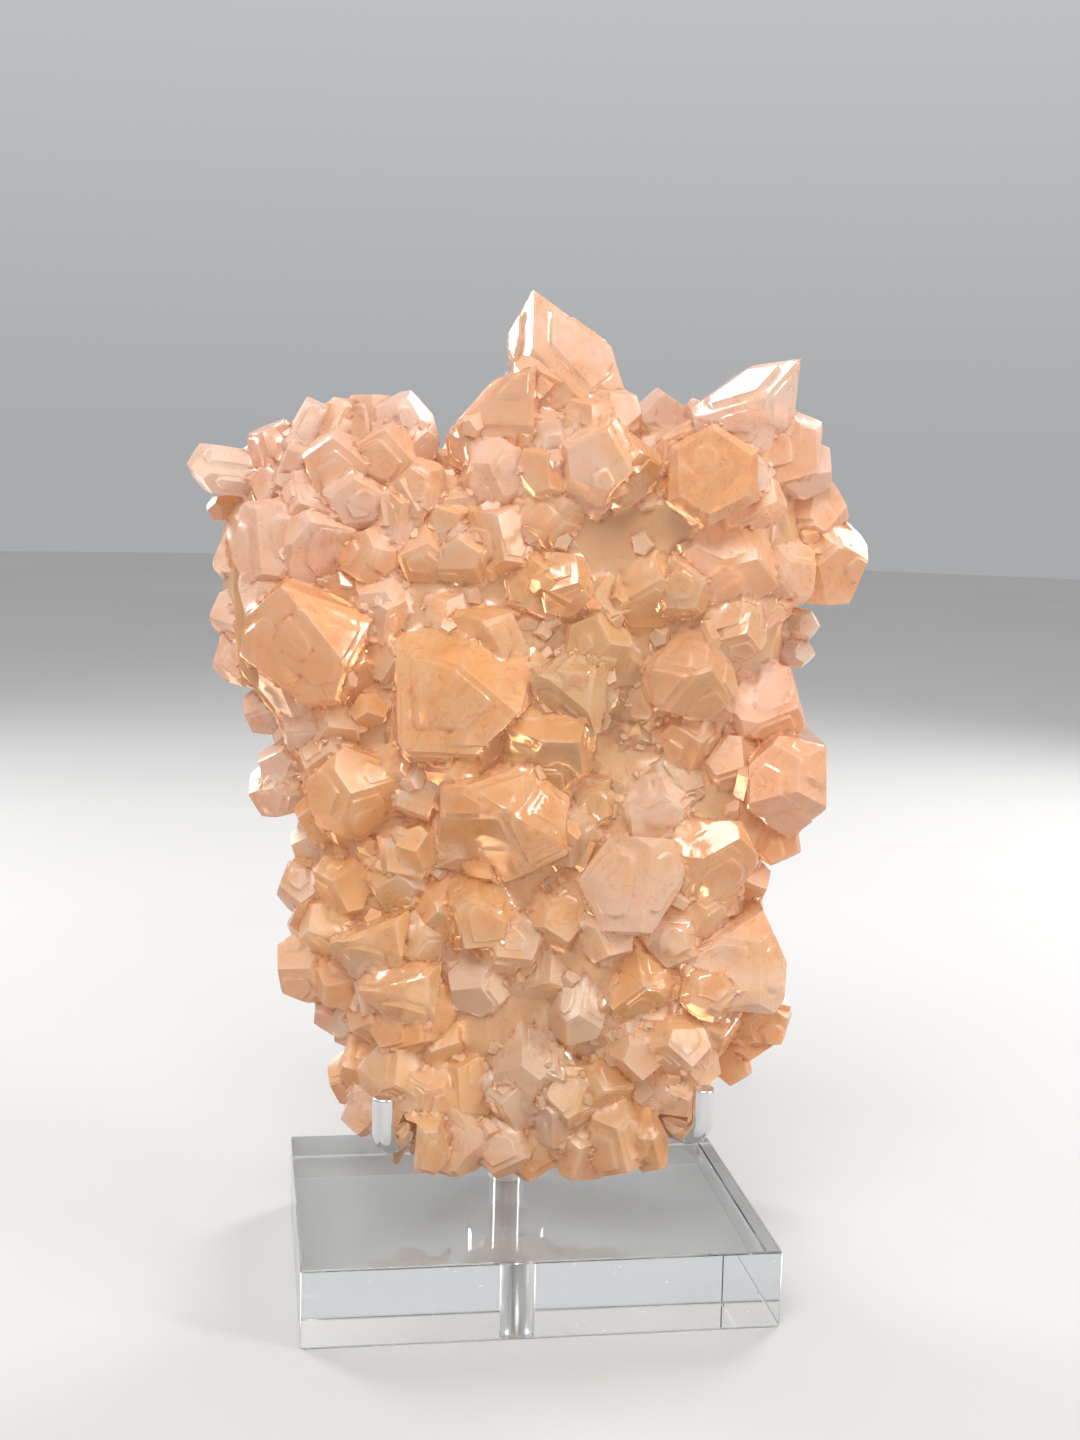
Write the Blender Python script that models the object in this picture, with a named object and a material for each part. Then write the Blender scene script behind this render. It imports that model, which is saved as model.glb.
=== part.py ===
"""A quartz crystal cluster that rests in the two hooked arms of a small display stand.

The origin is the middle of the base block's underside, +Z is up and the front faces -Y.
Sizes in the constants and the crystal list are millimetres, and MM turns them into metres.
"""

import itertools
import math
import random

import bmesh
import bpy
import numpy as np
from mathutils import Vector, noise

MM = 0.001
GAP = 0.3

# Stand
BASE_WIDTH = 120.0
BASE_DEPTH = 90.0
BASE_HEIGHT = 20.0
BASE_EDGE = 0.5
POST_RADIUS = 4.0
POST_FOOT_RADIUS = 4.5
POST_FOOT_RISE = 0.6
POST_FOOT_SLOPE = 0.8
POST_CHAMFER = 0.6
POST_ROUND = 2.0
POST_TOP = 98.0
POST_Y = 0.3 * BASE_DEPTH
COLLAR_RADIUS = 11.0
COLLAR_HEIGHT = 14.0
COLLAR_CHAMFER = 1.0
ARM_RADIUS = 2.75
ARM_HEIGHT = BASE_HEIGHT + 27.0
ARM_SOCKET = 6.0
ARM_TIP_CHAMFER = 0.6
HOOK_X = BASE_WIDTH / 3
HOOK_Y = -0.41 * BASE_DEPTH
HOOK_TOP = ARM_HEIGHT + 13.5
HOOK_BEND = 6.0
HOOK_BEND_STEPS = 6
ROUND_SIDES = 32
DRILL_SIDES = 24

# How far a cutter reaches past the face it opens, and past the whole cluster
CUT_PAST = 5.0
CUT_CLEAR = 40.0

# Cluster frame: u to the right, v up and w to the viewer, turned a little about the vertical
CLUSTER_TURN = math.radians(-9.0)
CLUSTER_Y = -8.0
SEED = 41

# Angle between a head facet's normal and the crystal's long axis, and how much it varies
FACET_TILT = math.radians(43.0)
TILT_SPREAD = math.radians(8.0)

# How far the facets stand off the tip, and the sides off the middle line, in radii
BROAD_RISE = (0.0, 0.12)
LESSER_RISE = (0.12, 0.45)
SIDE_SPREAD = (0.84, 1.06)

# Crystals from this radius up have the three lesser facets too
DETAILED_RADIUS = 10.0

# The grown base that all crystals stand on: its outline, its middle and its ring steps
MATRIX_MIDDLE = (-4.0, 145.0)
MATRIX_OUTLINE = (
    (-4, 238), (10, 236), (22, 229), (42, 228), (56, 229), (64, 212), (69, 194),
    (64, 176), (61, 158), (61, 140), (62, 122), (56, 104), (59, 88), (59, 72),
    (51, 57), (40, 46), (28, 41), (14, 36), (0, 33), (-14, 36), (-28, 40), (-42, 41),
    (-47, 56), (-53, 72), (-60, 86), (-58, 104), (-58, 120), (-65, 136), (-70, 150),
    (-80, 162), (-82, 186), (-81, 202), (-67, 216), (-46, 222), (-30, 218),
    (-22, 215), (-12, 229),
)
MATRIX_FRONT = ((0.07, 7.0), (0.28, 14.0), (0.66, 16.0), (1.0, 17.0))
MATRIX_BACK = ((0.16, -17.0), (0.55, -21.0), (1.0, -22.0))
MATRIX_EDGE_W = -7.0
FRONT_HEIGHT = 17.0
FRONT_FALL = 10.0
FRONT_REACH = 11.0
RECESS_MIDDLE = (26.0, 150.0)
RECESS_WIDTH = 30.0
RECESS_DEPTH = 10.0
LUMP_HEIGHT = 3.2
LUMP_SIZE = 17.0

# One row for each main crystal: name, tip u, v and w, lean to the right and up for each unit
# towards the viewer, radius, length, then the body's offset from its tip in radii
CRYSTALS = (
    ("tall_top_point", -3.6, 255.5, 8, 0, 0, 12.5, 62, 0.55, -0.75),
    ("orange_dome", -3.6, 236.6, 16, 0, 0, 9, 40, -0.9, -0.9),
    ("dome_foot", -20, 222, 12, -0.66, 0.55, 7.9, 26, 0.2, -0.3),
    ("rim_one", 29, 232, 4, 0.06, 1.1, 7.3, 28, 0, -0.3),
    ("rim_two", 38, 229, 2, 0.17, 1.1, 7.3, 28, 0, -0.3),
    ("top_right_point", 60.1, 240.2, 17, 0, 0, 9, 48, -0.85, -0.45),
    ("right_pale_one", 66, 224, 12, 0.8, 0.5, 9.2, 34, -0.5, -0.2),
    ("right_pale_two", 70, 214, 8, 0.72, 0, 7.3, 30, -0.4, 0.1),
    ("right_pink_one", 76, 205, 2, 1.32, 0.17, 6.7, 30, -0.3, -0.1),
    ("right_pink_two", 76, 198, -4, 1.43, -0.17, 4.9, 26, -0.2, 0),
    ("right_brown_point", 81, 192, 2, 1.65, -0.06, 10.4, 40, -0.1, -0.1),
    ("right_sliver_one", 70, 175, 0, 1.38, 0, 3.8, 18, 0, 0),
    ("right_sliver_two", 70, 168, -2, 1.38, 0.11, 3.8, 18, 0, 0),
    ("right_mid_one", 65, 156, 8, 0.66, 0.06, 10.4, 34, -0.4, 0),
    ("right_mid_two", 65, 144, 0, 1.1, 0, 6.7, 28, -0.3, 0),
    ("right_big", 64.8, 142.2, 18, 0, 0, 11.5, 44, -0.2, -0.7),
    ("right_under_one", 67, 118, 4, 0.88, -0.39, 6.7, 28, -0.3, 0.2),
    ("right_under_two", 60, 107, 2, 0.99, -0.22, 5.5, 26, -0.3, 0.1),
    ("right_under_three", 57, 98, 0, 1.1, -0.11, 4.3, 22, -0.2, 0),
    ("low_right_hex", 57.2, 97.8, 20, 0, 0, 12, 46, -0.5, -0.7),
    ("low_right_spike_one", 66, 74, 6, 1.04, 0.28, 6.1, 28, -0.3, -0.2),
    ("low_right_spike_two", 63, 66, 4, 0.94, -0.11, 5.5, 26, -0.3, 0),
    ("low_right_spike_three", 57, 57, 2, 0.77, -0.39, 5.5, 26, -0.2, 0.2),
    ("low_right_glint_one", 32, 56, 15, 0.1, 0.1, 4.9, 22, 0, 0),
    ("low_right_glint_two", 39, 58, 12, 0.3, 0.1, 3.7, 20, 0, 0),
    ("low_right_stub", 34, 38, 19, 0.22, -0.66, 6.7, 28, -0.2, 0.3),
    ("foot_one", 25, 37, 20, 0.28, -0.55, 9.2, 30, 0, 0.3),
    ("foot_two", 13, 33, 16, -0.11, -0.83, 7.9, 32, 0.2, 0.3),
    ("foot_three", 2, 31, 12, 0.11, -0.94, 11, 34, -0.1, 0.3),
    ("foot_four", -9, 35, 17, -0.22, -0.66, 7.3, 32, 0.2, 0.3),
    ("foot_five", -19, 36, 20, 0.06, -0.55, 10.4, 32, -0.2, 0.4),
    ("foot_six", -28, 39, 26, -0.17, -0.5, 7.3, 30, 0.1, 0.3),
    ("left_foot", -43, 43, 14, -0.28, -0.77, 7.3, 28, 0.2, 0.3),
    ("left_hex", -47, 61, 12, -0.8, 0.2, 9.2, 34, 0.45, 0.1),
    ("left_low_one", -51, 53, 6, -0.99, -0.11, 6.7, 28, 0.2, 0),
    ("left_low_two", -55, 72, 4, -1.04, 0.17, 6.8, 26, 0.3, 0),
    ("left_pale_low", -65, 84, 6, -1.21, 0, 8.4, 32, 0.3, 0),
    ("left_pale_mid", -65, 105, 4, -1.32, 0.17, 6.8, 30, 0.3, -0.1),
    ("left_pale_high", -62, 115, 2, -1.38, 0.11, 5.4, 24, 0.2, 0),
    ("left_tooth_one", -73, 128, 2, -1.43, -0.28, 6.8, 30, 0.3, 0.1),
    ("left_tooth_two", -70, 137, 4, -1.21, 0.28, 5.4, 24, 0.3, 0),
    ("left_rim_one", -74, 149, 4, -0.99, -0.17, 6.8, 28, 0.3, 0),
    ("left_rim_two", -82, 162, 2, -1.32, 0, 6.8, 30, 0.4, 0),
    ("left_rim_three", -83, 174, 2, -1.43, 0.06, 6.1, 28, 0.3, 0),
    ("left_rim_four", -82, 188, 2, -1.32, 0.06, 6.1, 26, 0.3, 0),
    ("left_dot", -84, 200, 0, -1.43, -0.33, 3, 20, 0.1, 0),
    ("left_knob", -88, 211, 6, -2.4, 0.3, 6.5, 40, 0.15, -0.05),
    ("left_top_long", -59, 227, 6, -0.39, 1.21, 7.3, 40, -0.2, -0.3),
    ("left_top_one", -49, 228, 8, -0.06, 1.1, 7.3, 34, 0, -0.4),
    ("left_top_two", -42, 229, 10, 0.06, 0.99, 7.3, 32, 0, -0.4),
    ("left_top_three", -34, 229, 12, 0.17, 0.94, 7.9, 34, 0.1, -0.5),
    ("left_top_four", -29, 221, 14, 0.66, 0.44, 6.7, 28, -0.3, -0.1),
    ("left_top_front_one", -51, 218, 20, -0.1, 0.7, 7.9, 32, 0.1, -0.4),
    ("left_top_front_two", -38, 221, 20, 0.1, 0.7, 6.7, 30, 0, -0.4),
    ("left_top_front_three", -62, 215, 14, -0.5, 0.8, 7.3, 30, 0.1, -0.3),
    ("left_top_front_four", -45, 209, 22, 0.1, 0.5, 6.7, 30, 0, -0.3),
    ("left_top_front_five", -27, 211, 20, 0.5, 0.4, 6.7, 30, -0.2, -0.2),
    ("left_top_front_six", -72, 208, 10, -1.1, 0.6, 6.1, 28, 0.2, -0.2),
    ("left_top_front_seven", -34, 203, 22, 0.2, 0.3, 6.7, 28, 0, -0.2),
    ("pale_pair_left", -68, 201, 20, -0.4, 0.5, 9.8, 36, -0.1, -0.6),
    ("pale_pair_right", -55, 199, 24, 0.1, 0.3, 10.4, 36, 0.35, -0.65),
    ("centre_left_one", -40, 193, 22, 0.2, 0.2, 7.3, 30, 0, -0.2),
    ("centre_left_two", -27, 194, 20, 0.2, 0.3, 7.3, 30, 0, -0.2),
    ("centre_left_three", -21, 201, 18, 0.5, 0.3, 5.5, 26, 0, -0.2),
    ("big_orange", -60.5, 182.9, 30, 0, 0, 12.5, 50, 0.3, -1.05),
    ("beside_orange_one", -37, 178, 22, 0.2, 0.1, 7.3, 30, 0, -0.2),
    ("beside_orange_two", -35, 166, 20, 0.2, 0, 6.7, 28, 0, 0),
    ("beside_orange_three", -41, 153, 21, 0, 0, 4.3, 24, 0, 0),
    ("beside_orange_four", -51, 149, 20, -0.2, -0.1, 7.3, 28, 0, 0),
    ("beside_orange_five", -62, 146, 14, -0.7, -0.2, 7.3, 28, 0.2, 0),
    ("top_foot_one", 11, 228, 20, 0.06, 0.55, 8.5, 34, 0, -0.5),
    ("top_foot_two", 15, 222, 24, 0.2, 0.6, 9.2, 34, 0, -0.3),
    ("small_oval_left", 1, 216, 20, 0, 0.5, 7.3, 30, 0, -0.1),
    ("small_oval_right", 23, 217, 22, 0.3, 0.5, 7.9, 30, -0.1, -0.1),
    ("high_right_one", 35, 223, 16, 0.11, 0.5, 6.7, 28, 0, -0.4),
    ("round_orange", 40.2, 212.5, 26, 0, 0, 11, 42, 0, 0),
    ("right_of_round", 56, 206, 16, 0.6, 0.1, 7.9, 30, -0.3, -0.1),
    ("pink_shoulder_one", 52, 192, 19, 0.4, 0.1, 11.6, 36, -0.2, -0.1),
    ("pink_shoulder_two", 50, 174, 18, 0.3, 0, 7.3, 28, 0, 0),
    ("pink_shoulder_three", 60, 180, 10, 0.9, 0, 7.3, 28, -0.2, 0),
    ("recess_high_one", 14, 205, 12, 0, 0.2, 9.2, 26, 0, -0.1),
    ("recess_high_two", 27, 203, 13, 0.2, 0.2, 7.9, 26, 0, -0.1),
    ("recess_high_three", -3, 198, 14, -0.1, 0.3, 9.8, 28, 0, -0.2),
    ("glint_crest_one", 1, 189, 20, 0.1, 0.25, 8.5, 30, -0.1, -0.35),
    ("glint_crest_two", 9, 186, 21, 0.35, 0.1, 7.3, 28, -0.2, -0.1),
    ("arc_orange", 29, 188, 17, 0.2, 0.1, 11, 32, -0.1, -0.3),
    ("glint_ridge", 17, 171, 20, 0.2, 0.1, 7.9, 28, -0.2, -0.2),
    ("centre_point", 13.4, 163, 23, 0, 0, 8.5, 32, -0.9, -0.4),
    ("right_recess_orange", 42, 166, 21, 0.3, 0.1, 11, 34, -0.1, -0.15),
    ("recess_mid_one", 30, 174, 10, 0.1, 0, 8.5, 24, 0, 0),
    ("recess_mid_two", 26, 146, 8, 0, 0, 9.8, 24, 0, 0),
    ("recess_mid_three", 41, 146, 12, 0.2, 0, 8.5, 26, 0, 0),
    ("recess_mid_four", 20, 130, 8, 0, -0.1, 10.4, 24, 0, 0),
    ("recess_mid_five", 37, 133, 11, 0.1, -0.1, 9.2, 26, 0, 0),
    ("recess_mid_six", 52, 140, 12, 0.3, 0, 7.3, 26, 0, 0),
    ("orange_crown", -14, 176, 24, 0, 0.5, 10.4, 34, 0, -0.5),
    ("large_peach", -18, 165.6, 31, 0, 0, 12, 46, -0.1, -1),
    ("square_top", 1.9, 148.2, 30, 0, 0, 8.5, 36, 0, -0.75),
    ("multi_facet", -7.6, 131.9, 35, 0, 0, 14.5, 48, 0, -0.55),
    ("orange_red", -29, 119, 24, 0, 0, 5.5, 26, 0, 0),
    ("under_multi_one", -21, 140, 27, -0.2, 0, 7.9, 30, 0, 0),
    ("round_tan", -45, 134, 25, -0.15, 0.05, 11.6, 36, -0.1, -0.2),
    ("left_of_tan", -59, 124, 12, -0.9, 0, 7.3, 28, 0.2, 0),
    ("tan_above", -33, 139, 24, 0, 0.1, 7.3, 28, 0, 0),
    ("big_tan", -33.4, 100.9, 25, 0, 0, 10.5, 40, -0.7, -0.4),
    ("tan_above_left", -50, 110, 18, -0.4, 0.2, 7.9, 28, 0, -0.1),
    ("yellow_fan", -24.9, 87.9, 24, 0, 0, 9.5, 36, -0.8, -0.5),
    ("white_glint", -12, 84, 21, 0.05, 0.1, 7.3, 28, -0.1, 0),
    ("low_mid_one", -23, 103, 21, 0, 0.1, 10.4, 32, 0, -0.1),
    ("low_mid_two", -11, 105, 19, 0, 0.1, 9.2, 30, 0, 0),
    ("low_mid_three", 7, 108, 18, 0.1, 0, 10, 32, 0, 0),
    ("low_mid_four", 4, 86, 18, 0.1, 0, 8.5, 28, 0, 0),
    ("low_mid_five", -3, 95, 17, 0, 0, 7.3, 28, 0, 0),
    ("big_pale_peach", 29, 122, 28, 0.15, 0.3, 12, 44, -0.25, -0.65),
    ("orange_arc", 50, 124, 21, 0.4, 0.25, 11, 34, -0.4, -0.5),
    ("beside_arc", 43, 106, 18, 0.3, 0.1, 10.4, 32, 0, 0),
    ("above_hex", 39, 100, 17, 0.2, 0.2, 7.9, 28, 0, 0),
    ("low_right_one", 18, 80, 17, 0, 0, 9.8, 30, 0, 0),
    ("low_right_two", 28, 86, 21, 0.1, 0.1, 10.4, 32, 0, -0.1),
    ("low_right_three", 35, 74, 17, 0.3, -0.1, 8.5, 30, 0, 0),
    ("low_right_four", 49, 70, 12, 0.5, -0.2, 8.5, 30, 0, 0),
    ("low_right_five", 23, 66, 15, 0, -0.1, 7.9, 28, 0, 0),
    ("grey_foot_one", -2, 70, 14, 0, 0.1, 10.4, 30, 0, 0),
    ("grey_foot_two", 4, 62, 19, 0, 0.2, 9.2, 30, 0.1, -0.3),
    ("grey_foot_three", -10, 58, 16, 0, 0, 9.2, 30, 0, 0),
    ("rosette_one", 11, 51, 21, 0, -0.3, 10.4, 32, 0, -0.1),
    ("rosette_two", 19, 58, 19, 0.2, 0.1, 9.2, 30, 0, -0.2),
    ("left_low_front_one", -33, 59, 22, -0.1, -0.1, 11.6, 34, 0, -0.1),
    ("left_low_front_two", -25, 68, 20, 0, 0, 8.5, 30, 0, 0),
    ("left_low_front_three", -40, 74, 18, -0.3, 0, 8.5, 30, 0, 0),
    ("left_low_front_four", -17, 52, 19, 0, -0.4, 9.2, 30, 0, 0),
    ("left_low_front_five", -27, 50, 21, -0.1, -0.6, 7.9, 28, 0, 0),
    ("left_mid_front_one", -56, 96, 14, -0.7, 0.1, 7.9, 28, 0.1, 0),
    ("left_mid_front_two", -52, 82, 14, -0.6, 0, 7.9, 28, 0.1, 0),
    ("left_top_slope", -70, 219, 6, -0.5, 0.6, 9, 34, 0.3, -0.5),
    ("under_orange_one", -62, 158, 20, -0.3, -0.3, 9, 30, 0, 0),
    ("under_orange_two", -48, 160, 21, 0, -0.3, 8, 30, 0, 0),
    ("under_peach", -16, 146, 26, 0, -0.2, 9, 30, 0, 0),
)

# Heads whose facets are placed one by one: each row is the way a facet faces (u, v and w) and
# how far it stands off the tip; sides come last and face straight out
SHAPED = {
    "tall_top_point": (
        (-2.0, 0.35, 1, 0), (0.45, 0.35, 1, 0), (0.52, 0.85, -0.15, 0), (-0.82, 0.57, -0.1, 0.3),
        (-0.1, -0.2, 1, 7.4), (-1, -0.08, 0.05, 6.9), (-0.92, -0.4, 0.1, 10.9),
        (0.95, 0.32, 0, 14.3), (0.7, -0.7, 0, 34), (0.3, 0.1, -1, 14),
    ),
    "top_right_point": (
        (-0.25, 0.45, 1, 0), (0.58, -0.27, 1, 0), (0, -0.3, 1, 4.6), (-0.16, 0.99, -0.1, 0.3),
        (1, -0.03, 0, 0.6), (-0.6, 0.8, 0, 5.3), (-1, -0.2, 0, 27), (0, -1, 0.3, 20),
        (0.1, 0.1, -1, 12),
    ),
    "orange_dome": (
        (-0.3, 0.2, 1, 0), (-0.75, 0.6, 1, 1.4), (-0.35, 0.94, 0.05, 0.2),
        (-0.6, 0.8, 0.05, 2.7), (-0.76, 0.65, 0.05, 4.9), (-0.95, -0.3, 0.1, 21),
        (1, 0, 0.1, 1), (-0.3, -0.6, 1, 9), (-0.2, -1, 0, 20), (-0.8, -0.6, 0, 25),
    ),
    "round_orange": (
        (0, 0.08, 1, 0), (1.1, 0, 1, 6.3), (0.55, 0.95, 1, 6.1), (-0.55, 0.95, 1, 6.5),
        (-1.1, 0, 1, 6.2), (-0.55, -0.95, 1, 6.6), (0.55, -0.95, 1, 6.2),
        (1, 0.1, 0, 10.8), (0.5, 0.87, 0, 10.4), (-0.5, 0.87, 0, 10.7), (-1, 0, 0, 10.4),
        (-0.5, -0.87, 0, 11), (0.5, -0.87, 0, 10.6),
    ),
    "big_orange": (
        (-0.15, -0.25, 1, 0), (0.6, 0.33, 1, 0), (1.08, 1.54, 1, 0), (-1.05, -0.16, 1, 3.5),
        (-0.7, 0.72, 0.1, 1.3), (-1, 0.15, 0, 9.7), (-0.6, -0.8, 0.2, 18.6), (0.1, -1, 0.3, 25),
        (0.93, -0.36, 0.2, 18.8), (0.39, 0.92, 0.1, 0.5),
    ),
    "centre_point": (
        (0.1, 0.15, 1, 0), (-0.46, -0.55, 1, 5.2), (1.3, 0, 1, 0), (0.05, 1.4, 1, 0),
        (-1, -0.3, 0.1, 15), (-0.6, 0.8, 0.1, 8), (-0.2, -1, 0.1, 19), (1, -0.1, 0.1, 3),
        (0.6, -0.8, 0, 12),
    ),
    "right_big": (
        (-0.3, 0.1, 1, 0), (0.7, 0.05, 1, 0), (0.2, 1.1, 1, 1), (0.1, -1, 1, 5),
        (1, 0.05, 0, 7.3), (0.2, 1, 0, 5.5), (-0.7, 0.7, 0, 8), (-1, 0, 0, 12),
        (-0.6, -0.8, 0, 17), (0.75, -0.66, 0, 14),
    ),
    "low_right_hex": (
        (-0.15, -0.12, 1, 0), (0.75, -0.1, 1, 0), (-0.1, 1.2, 1, 0), (0, -1.1, 1, 11),
        (0.9, 0.43, 0, 3.6), (1, 0, 0, 7.3), (0.8, -0.6, 0, 16), (-0.1, -1, 0, 20),
        (-1, -0.1, 0, 19), (-0.5, 0.87, 0, 5),
    ),
    "large_peach": (
        (0.12, -0.1, 1, 0), (-0.58, 0.3, 1, 0), (0.89, 0.82, 1, 0), (-0.4, 1.4, 1, 0.3),
        (-1, 0, 0.2, 14.4), (-0.8, -0.6, 0.2, 22.5), (0, -1, 0.4, 18.7), (1, 0.1, 0.3, 11.3),
        (0.7, -0.7, 0.1, 17),
    ),
    "square_top": (
        (0, 1.6, 1, 0), (-0.55, -0.35, 1, 0), (-0.03, -0.66, 1, 0), (-1.43, -0.82, 1, 3.9),
        (1, 0, 0.2, 8.2), (0.6, -0.8, 0.2, 11.1), (-1, -0.1, 0.1, 9.5), (0, -1, 0.2, 15),
    ),
    "multi_facet": (
        (-0.55, 0.05, 1, 0.2), (0.35, -0.45, 1, 0), (0.9, 0.35, 1, 0.6), (-0.05, 1, 1, 0.3),
        (-0.45, -0.8, 1, 1.2), (-1, 0, 0.1, 14.5), (1, 0, 0.1, 14.5), (-0.6, -0.8, 0.1, 17),
        (0.45, -0.9, 0.1, 17), (-0.3, 1, 0.1, 7), (0.7, 0.7, 0.1, 10.5),
    ),
    "big_tan": (
        (0, 0, 1, 0), (-0.44, 1.1, 1, 0), (1.2, 0.15, 1, 0), (-0.13, -0.6, 1, 3.4),
        (-1, 0.3, 0, 14), (-0.2, -1, 0, 19), (1, -0.1, 0, 2.5), (-0.4, 0.9, 0, 1.5),
        (-0.8, -0.6, 0, 18),
    ),
    "yellow_fan": (
        (0.05, 0.05, 1, 0), (-0.26, 1.15, 1, 0), (1.2, 0.05, 1, 0), (-0.1, -0.55, 1, 3.85),
        (-1, 0.2, 0, 16.5), (-0.1, -1, 0, 14), (1, -0.1, 0, 2.5), (-0.7, -0.7, 0, 16),
        (0, 1, 0, 2),
    ),
}

# Small crystals between the main ones, round the rim and on the back
FILLER_STEP = 14.0
FILLER_RADIUS = (6.5, 10.0)
FILLER_RISE = (2.0, 6.0)
FILLER_MARGIN = 0.8
FILLER_LENGTH = 20.0
FILLER_SPREAD = 0.9
BACK_STEP = 34.0
BACK_RADIUS = (8.0, 13.0)
BACK_RISE = (3.0, 7.0)
BACK_W = -21.0
BACK_LENGTH = 24.0
BACK_SPREAD = 1.2
RIM_STEPS = 20
RIM_RADIUS = (5.0, 7.5)
RIM_REACH = (0.0, 3.0)
RIM_W = (-15.0, -6.0)
RIM_LEAN_W = (-1.0, 0.3)
RIM_LENGTH = 26.0
RIM_SPREAD = 2.2

# Scatter of the small crystals: in their places, as a share of the step, and in their lean
PLACE_SCATTER = 0.3
ROW_SHARE = 0.87
LEAN_SCATTER = 0.3
HALF_HEIGHT = 90.0


def clear_scene():
    for obj in list(bpy.data.objects):
        bpy.data.objects.remove(obj, do_unlink=True)


def finish_material(name, colour, roughness, metallic=0.0, transmission=0.0):
    material = bpy.data.materials.new(name)
    material.use_nodes = True
    shader = material.node_tree.nodes["Principled BSDF"]
    shader.inputs["Base Color"].default_value = (*colour, 1.0)
    shader.inputs["Roughness"].default_value = roughness
    shader.inputs["Metallic"].default_value = metallic
    shader.inputs["Transmission Weight"].default_value = transmission
    return material


def add_object(name, mesh, material=None, helper=False):
    """A mesh object in the scene; a helper is a cutter or an operand that isn't shown."""
    obj = bpy.data.objects.new(name, mesh)
    bpy.context.scene.collection.objects.link(obj)
    if material:
        mesh.materials.append(material)
    if helper:
        obj.hide_render = True
        obj.display_type = "WIRE"
    return obj


def mesh_from(name, build):
    """A mesh in metres from build, which fills a bmesh in millimetres."""
    bm = bmesh.new()
    build(bm)
    bmesh.ops.scale(bm, vec=(MM, MM, MM), verts=bm.verts)
    bmesh.ops.recalc_face_normals(bm, faces=bm.faces)
    mesh = bpy.data.meshes.new(name)
    bm.to_mesh(mesh)
    bm.free()
    return mesh


def shade_round(mesh):
    mesh.shade_smooth()
    mesh.set_sharp_from_angle(angle=math.radians(35))


def boolean(obj, operation, other=None, collection=None, solver="EXACT"):
    modifier = obj.modifiers.new(operation.lower(), "BOOLEAN")
    modifier.operation = operation
    modifier.solver = solver
    if collection:
        modifier.operand_type = "COLLECTION"
        modifier.collection = collection
    else:
        modifier.object = other


def box_mesh(name, low, high):
    """A box between two corners given in millimetres."""

    def build(bm):
        bmesh.ops.create_cube(bm, size=1.0)
        size = [b - a for a, b in zip(low, high)]
        bmesh.ops.scale(bm, vec=size, verts=bm.verts)
        middle = [(a + b) / 2 for a, b in zip(low, high)]
        bmesh.ops.translate(bm, vec=middle, verts=bm.verts)

    return mesh_from(name, build)


def turned_mesh(name, profile, centre):
    """A round piece turned about the vertical through centre, from (radius, z) points on its side."""

    def build(bm):
        rings = []
        for radius, z in profile:
            ring = []
            for step in range(ROUND_SIDES):
                angle = math.tau * step / ROUND_SIDES
                x = centre[0] + radius * math.cos(angle)
                y = centre[1] + radius * math.sin(angle)
                ring.append(bm.verts.new((x, y, z)))
            rings.append(ring)
        for lower, upper in itertools.pairwise(rings):
            for step in range(ROUND_SIDES):
                after = (step + 1) % ROUND_SIDES
                bm.faces.new((lower[step], lower[after], upper[after], upper[step]))
        bm.faces.new(rings[0][::-1])
        bm.faces.new(rings[-1])

    return mesh_from(name, build)


def rod_mesh(name, start, end, radius):
    """A plain round bar between two points, used as a drill."""

    def build(bm):
        axis = Vector(end) - Vector(start)
        turn = axis.to_track_quat("Z", "Y").to_matrix().to_4x4()
        bmesh.ops.create_cone(
            bm,
            cap_ends=True,
            segments=DRILL_SIDES,
            radius1=radius,
            radius2=radius,
            depth=axis.length,
        )
        bmesh.ops.transform(bm, matrix=turn, verts=bm.verts)
        bmesh.ops.translate(bm, vec=(Vector(start) + Vector(end)) / 2, verts=bm.verts)

    return mesh_from(name, build)


def make_base_block(material):
    low = (-BASE_WIDTH / 2, -BASE_DEPTH / 2, 0)
    high = (BASE_WIDTH / 2, BASE_DEPTH / 2, BASE_HEIGHT)
    block = add_object("base_block", box_mesh("base_block", low, high), material)
    bevel = block.modifiers.new("polished_edges", "BEVEL")
    bevel.width = BASE_EDGE * MM
    bevel.segments = 2
    bevel.limit_method = "ANGLE"
    hole_radius = POST_FOOT_RADIUS + GAP
    profile = ((hole_radius, -CUT_PAST), (hole_radius, BASE_HEIGHT + CUT_PAST))
    drill = add_object("post_drill", turned_mesh("post_drill", profile, (0, POST_Y)), helper=True)
    boolean(block, "DIFFERENCE", drill)
    return block


def make_post(material):
    shoulder = BASE_HEIGHT + POST_FOOT_RISE
    profile = (
        (POST_FOOT_RADIUS - POST_CHAMFER, GAP),
        (POST_FOOT_RADIUS, GAP + POST_CHAMFER),
        (POST_FOOT_RADIUS, shoulder),
        (POST_RADIUS, shoulder + POST_FOOT_SLOPE),
        (POST_RADIUS, POST_TOP - POST_ROUND),
        (POST_RADIUS - 0.3 * POST_ROUND, POST_TOP - 0.35 * POST_ROUND),
        (POST_RADIUS - POST_ROUND, POST_TOP),
    )
    mesh = turned_mesh("post", profile, (0, POST_Y))
    shade_round(mesh)
    return add_object("post", mesh, material)


def arm_direction(side):
    return Vector((side * HOOK_X, HOOK_Y - POST_Y, 0)).normalized()


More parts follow.
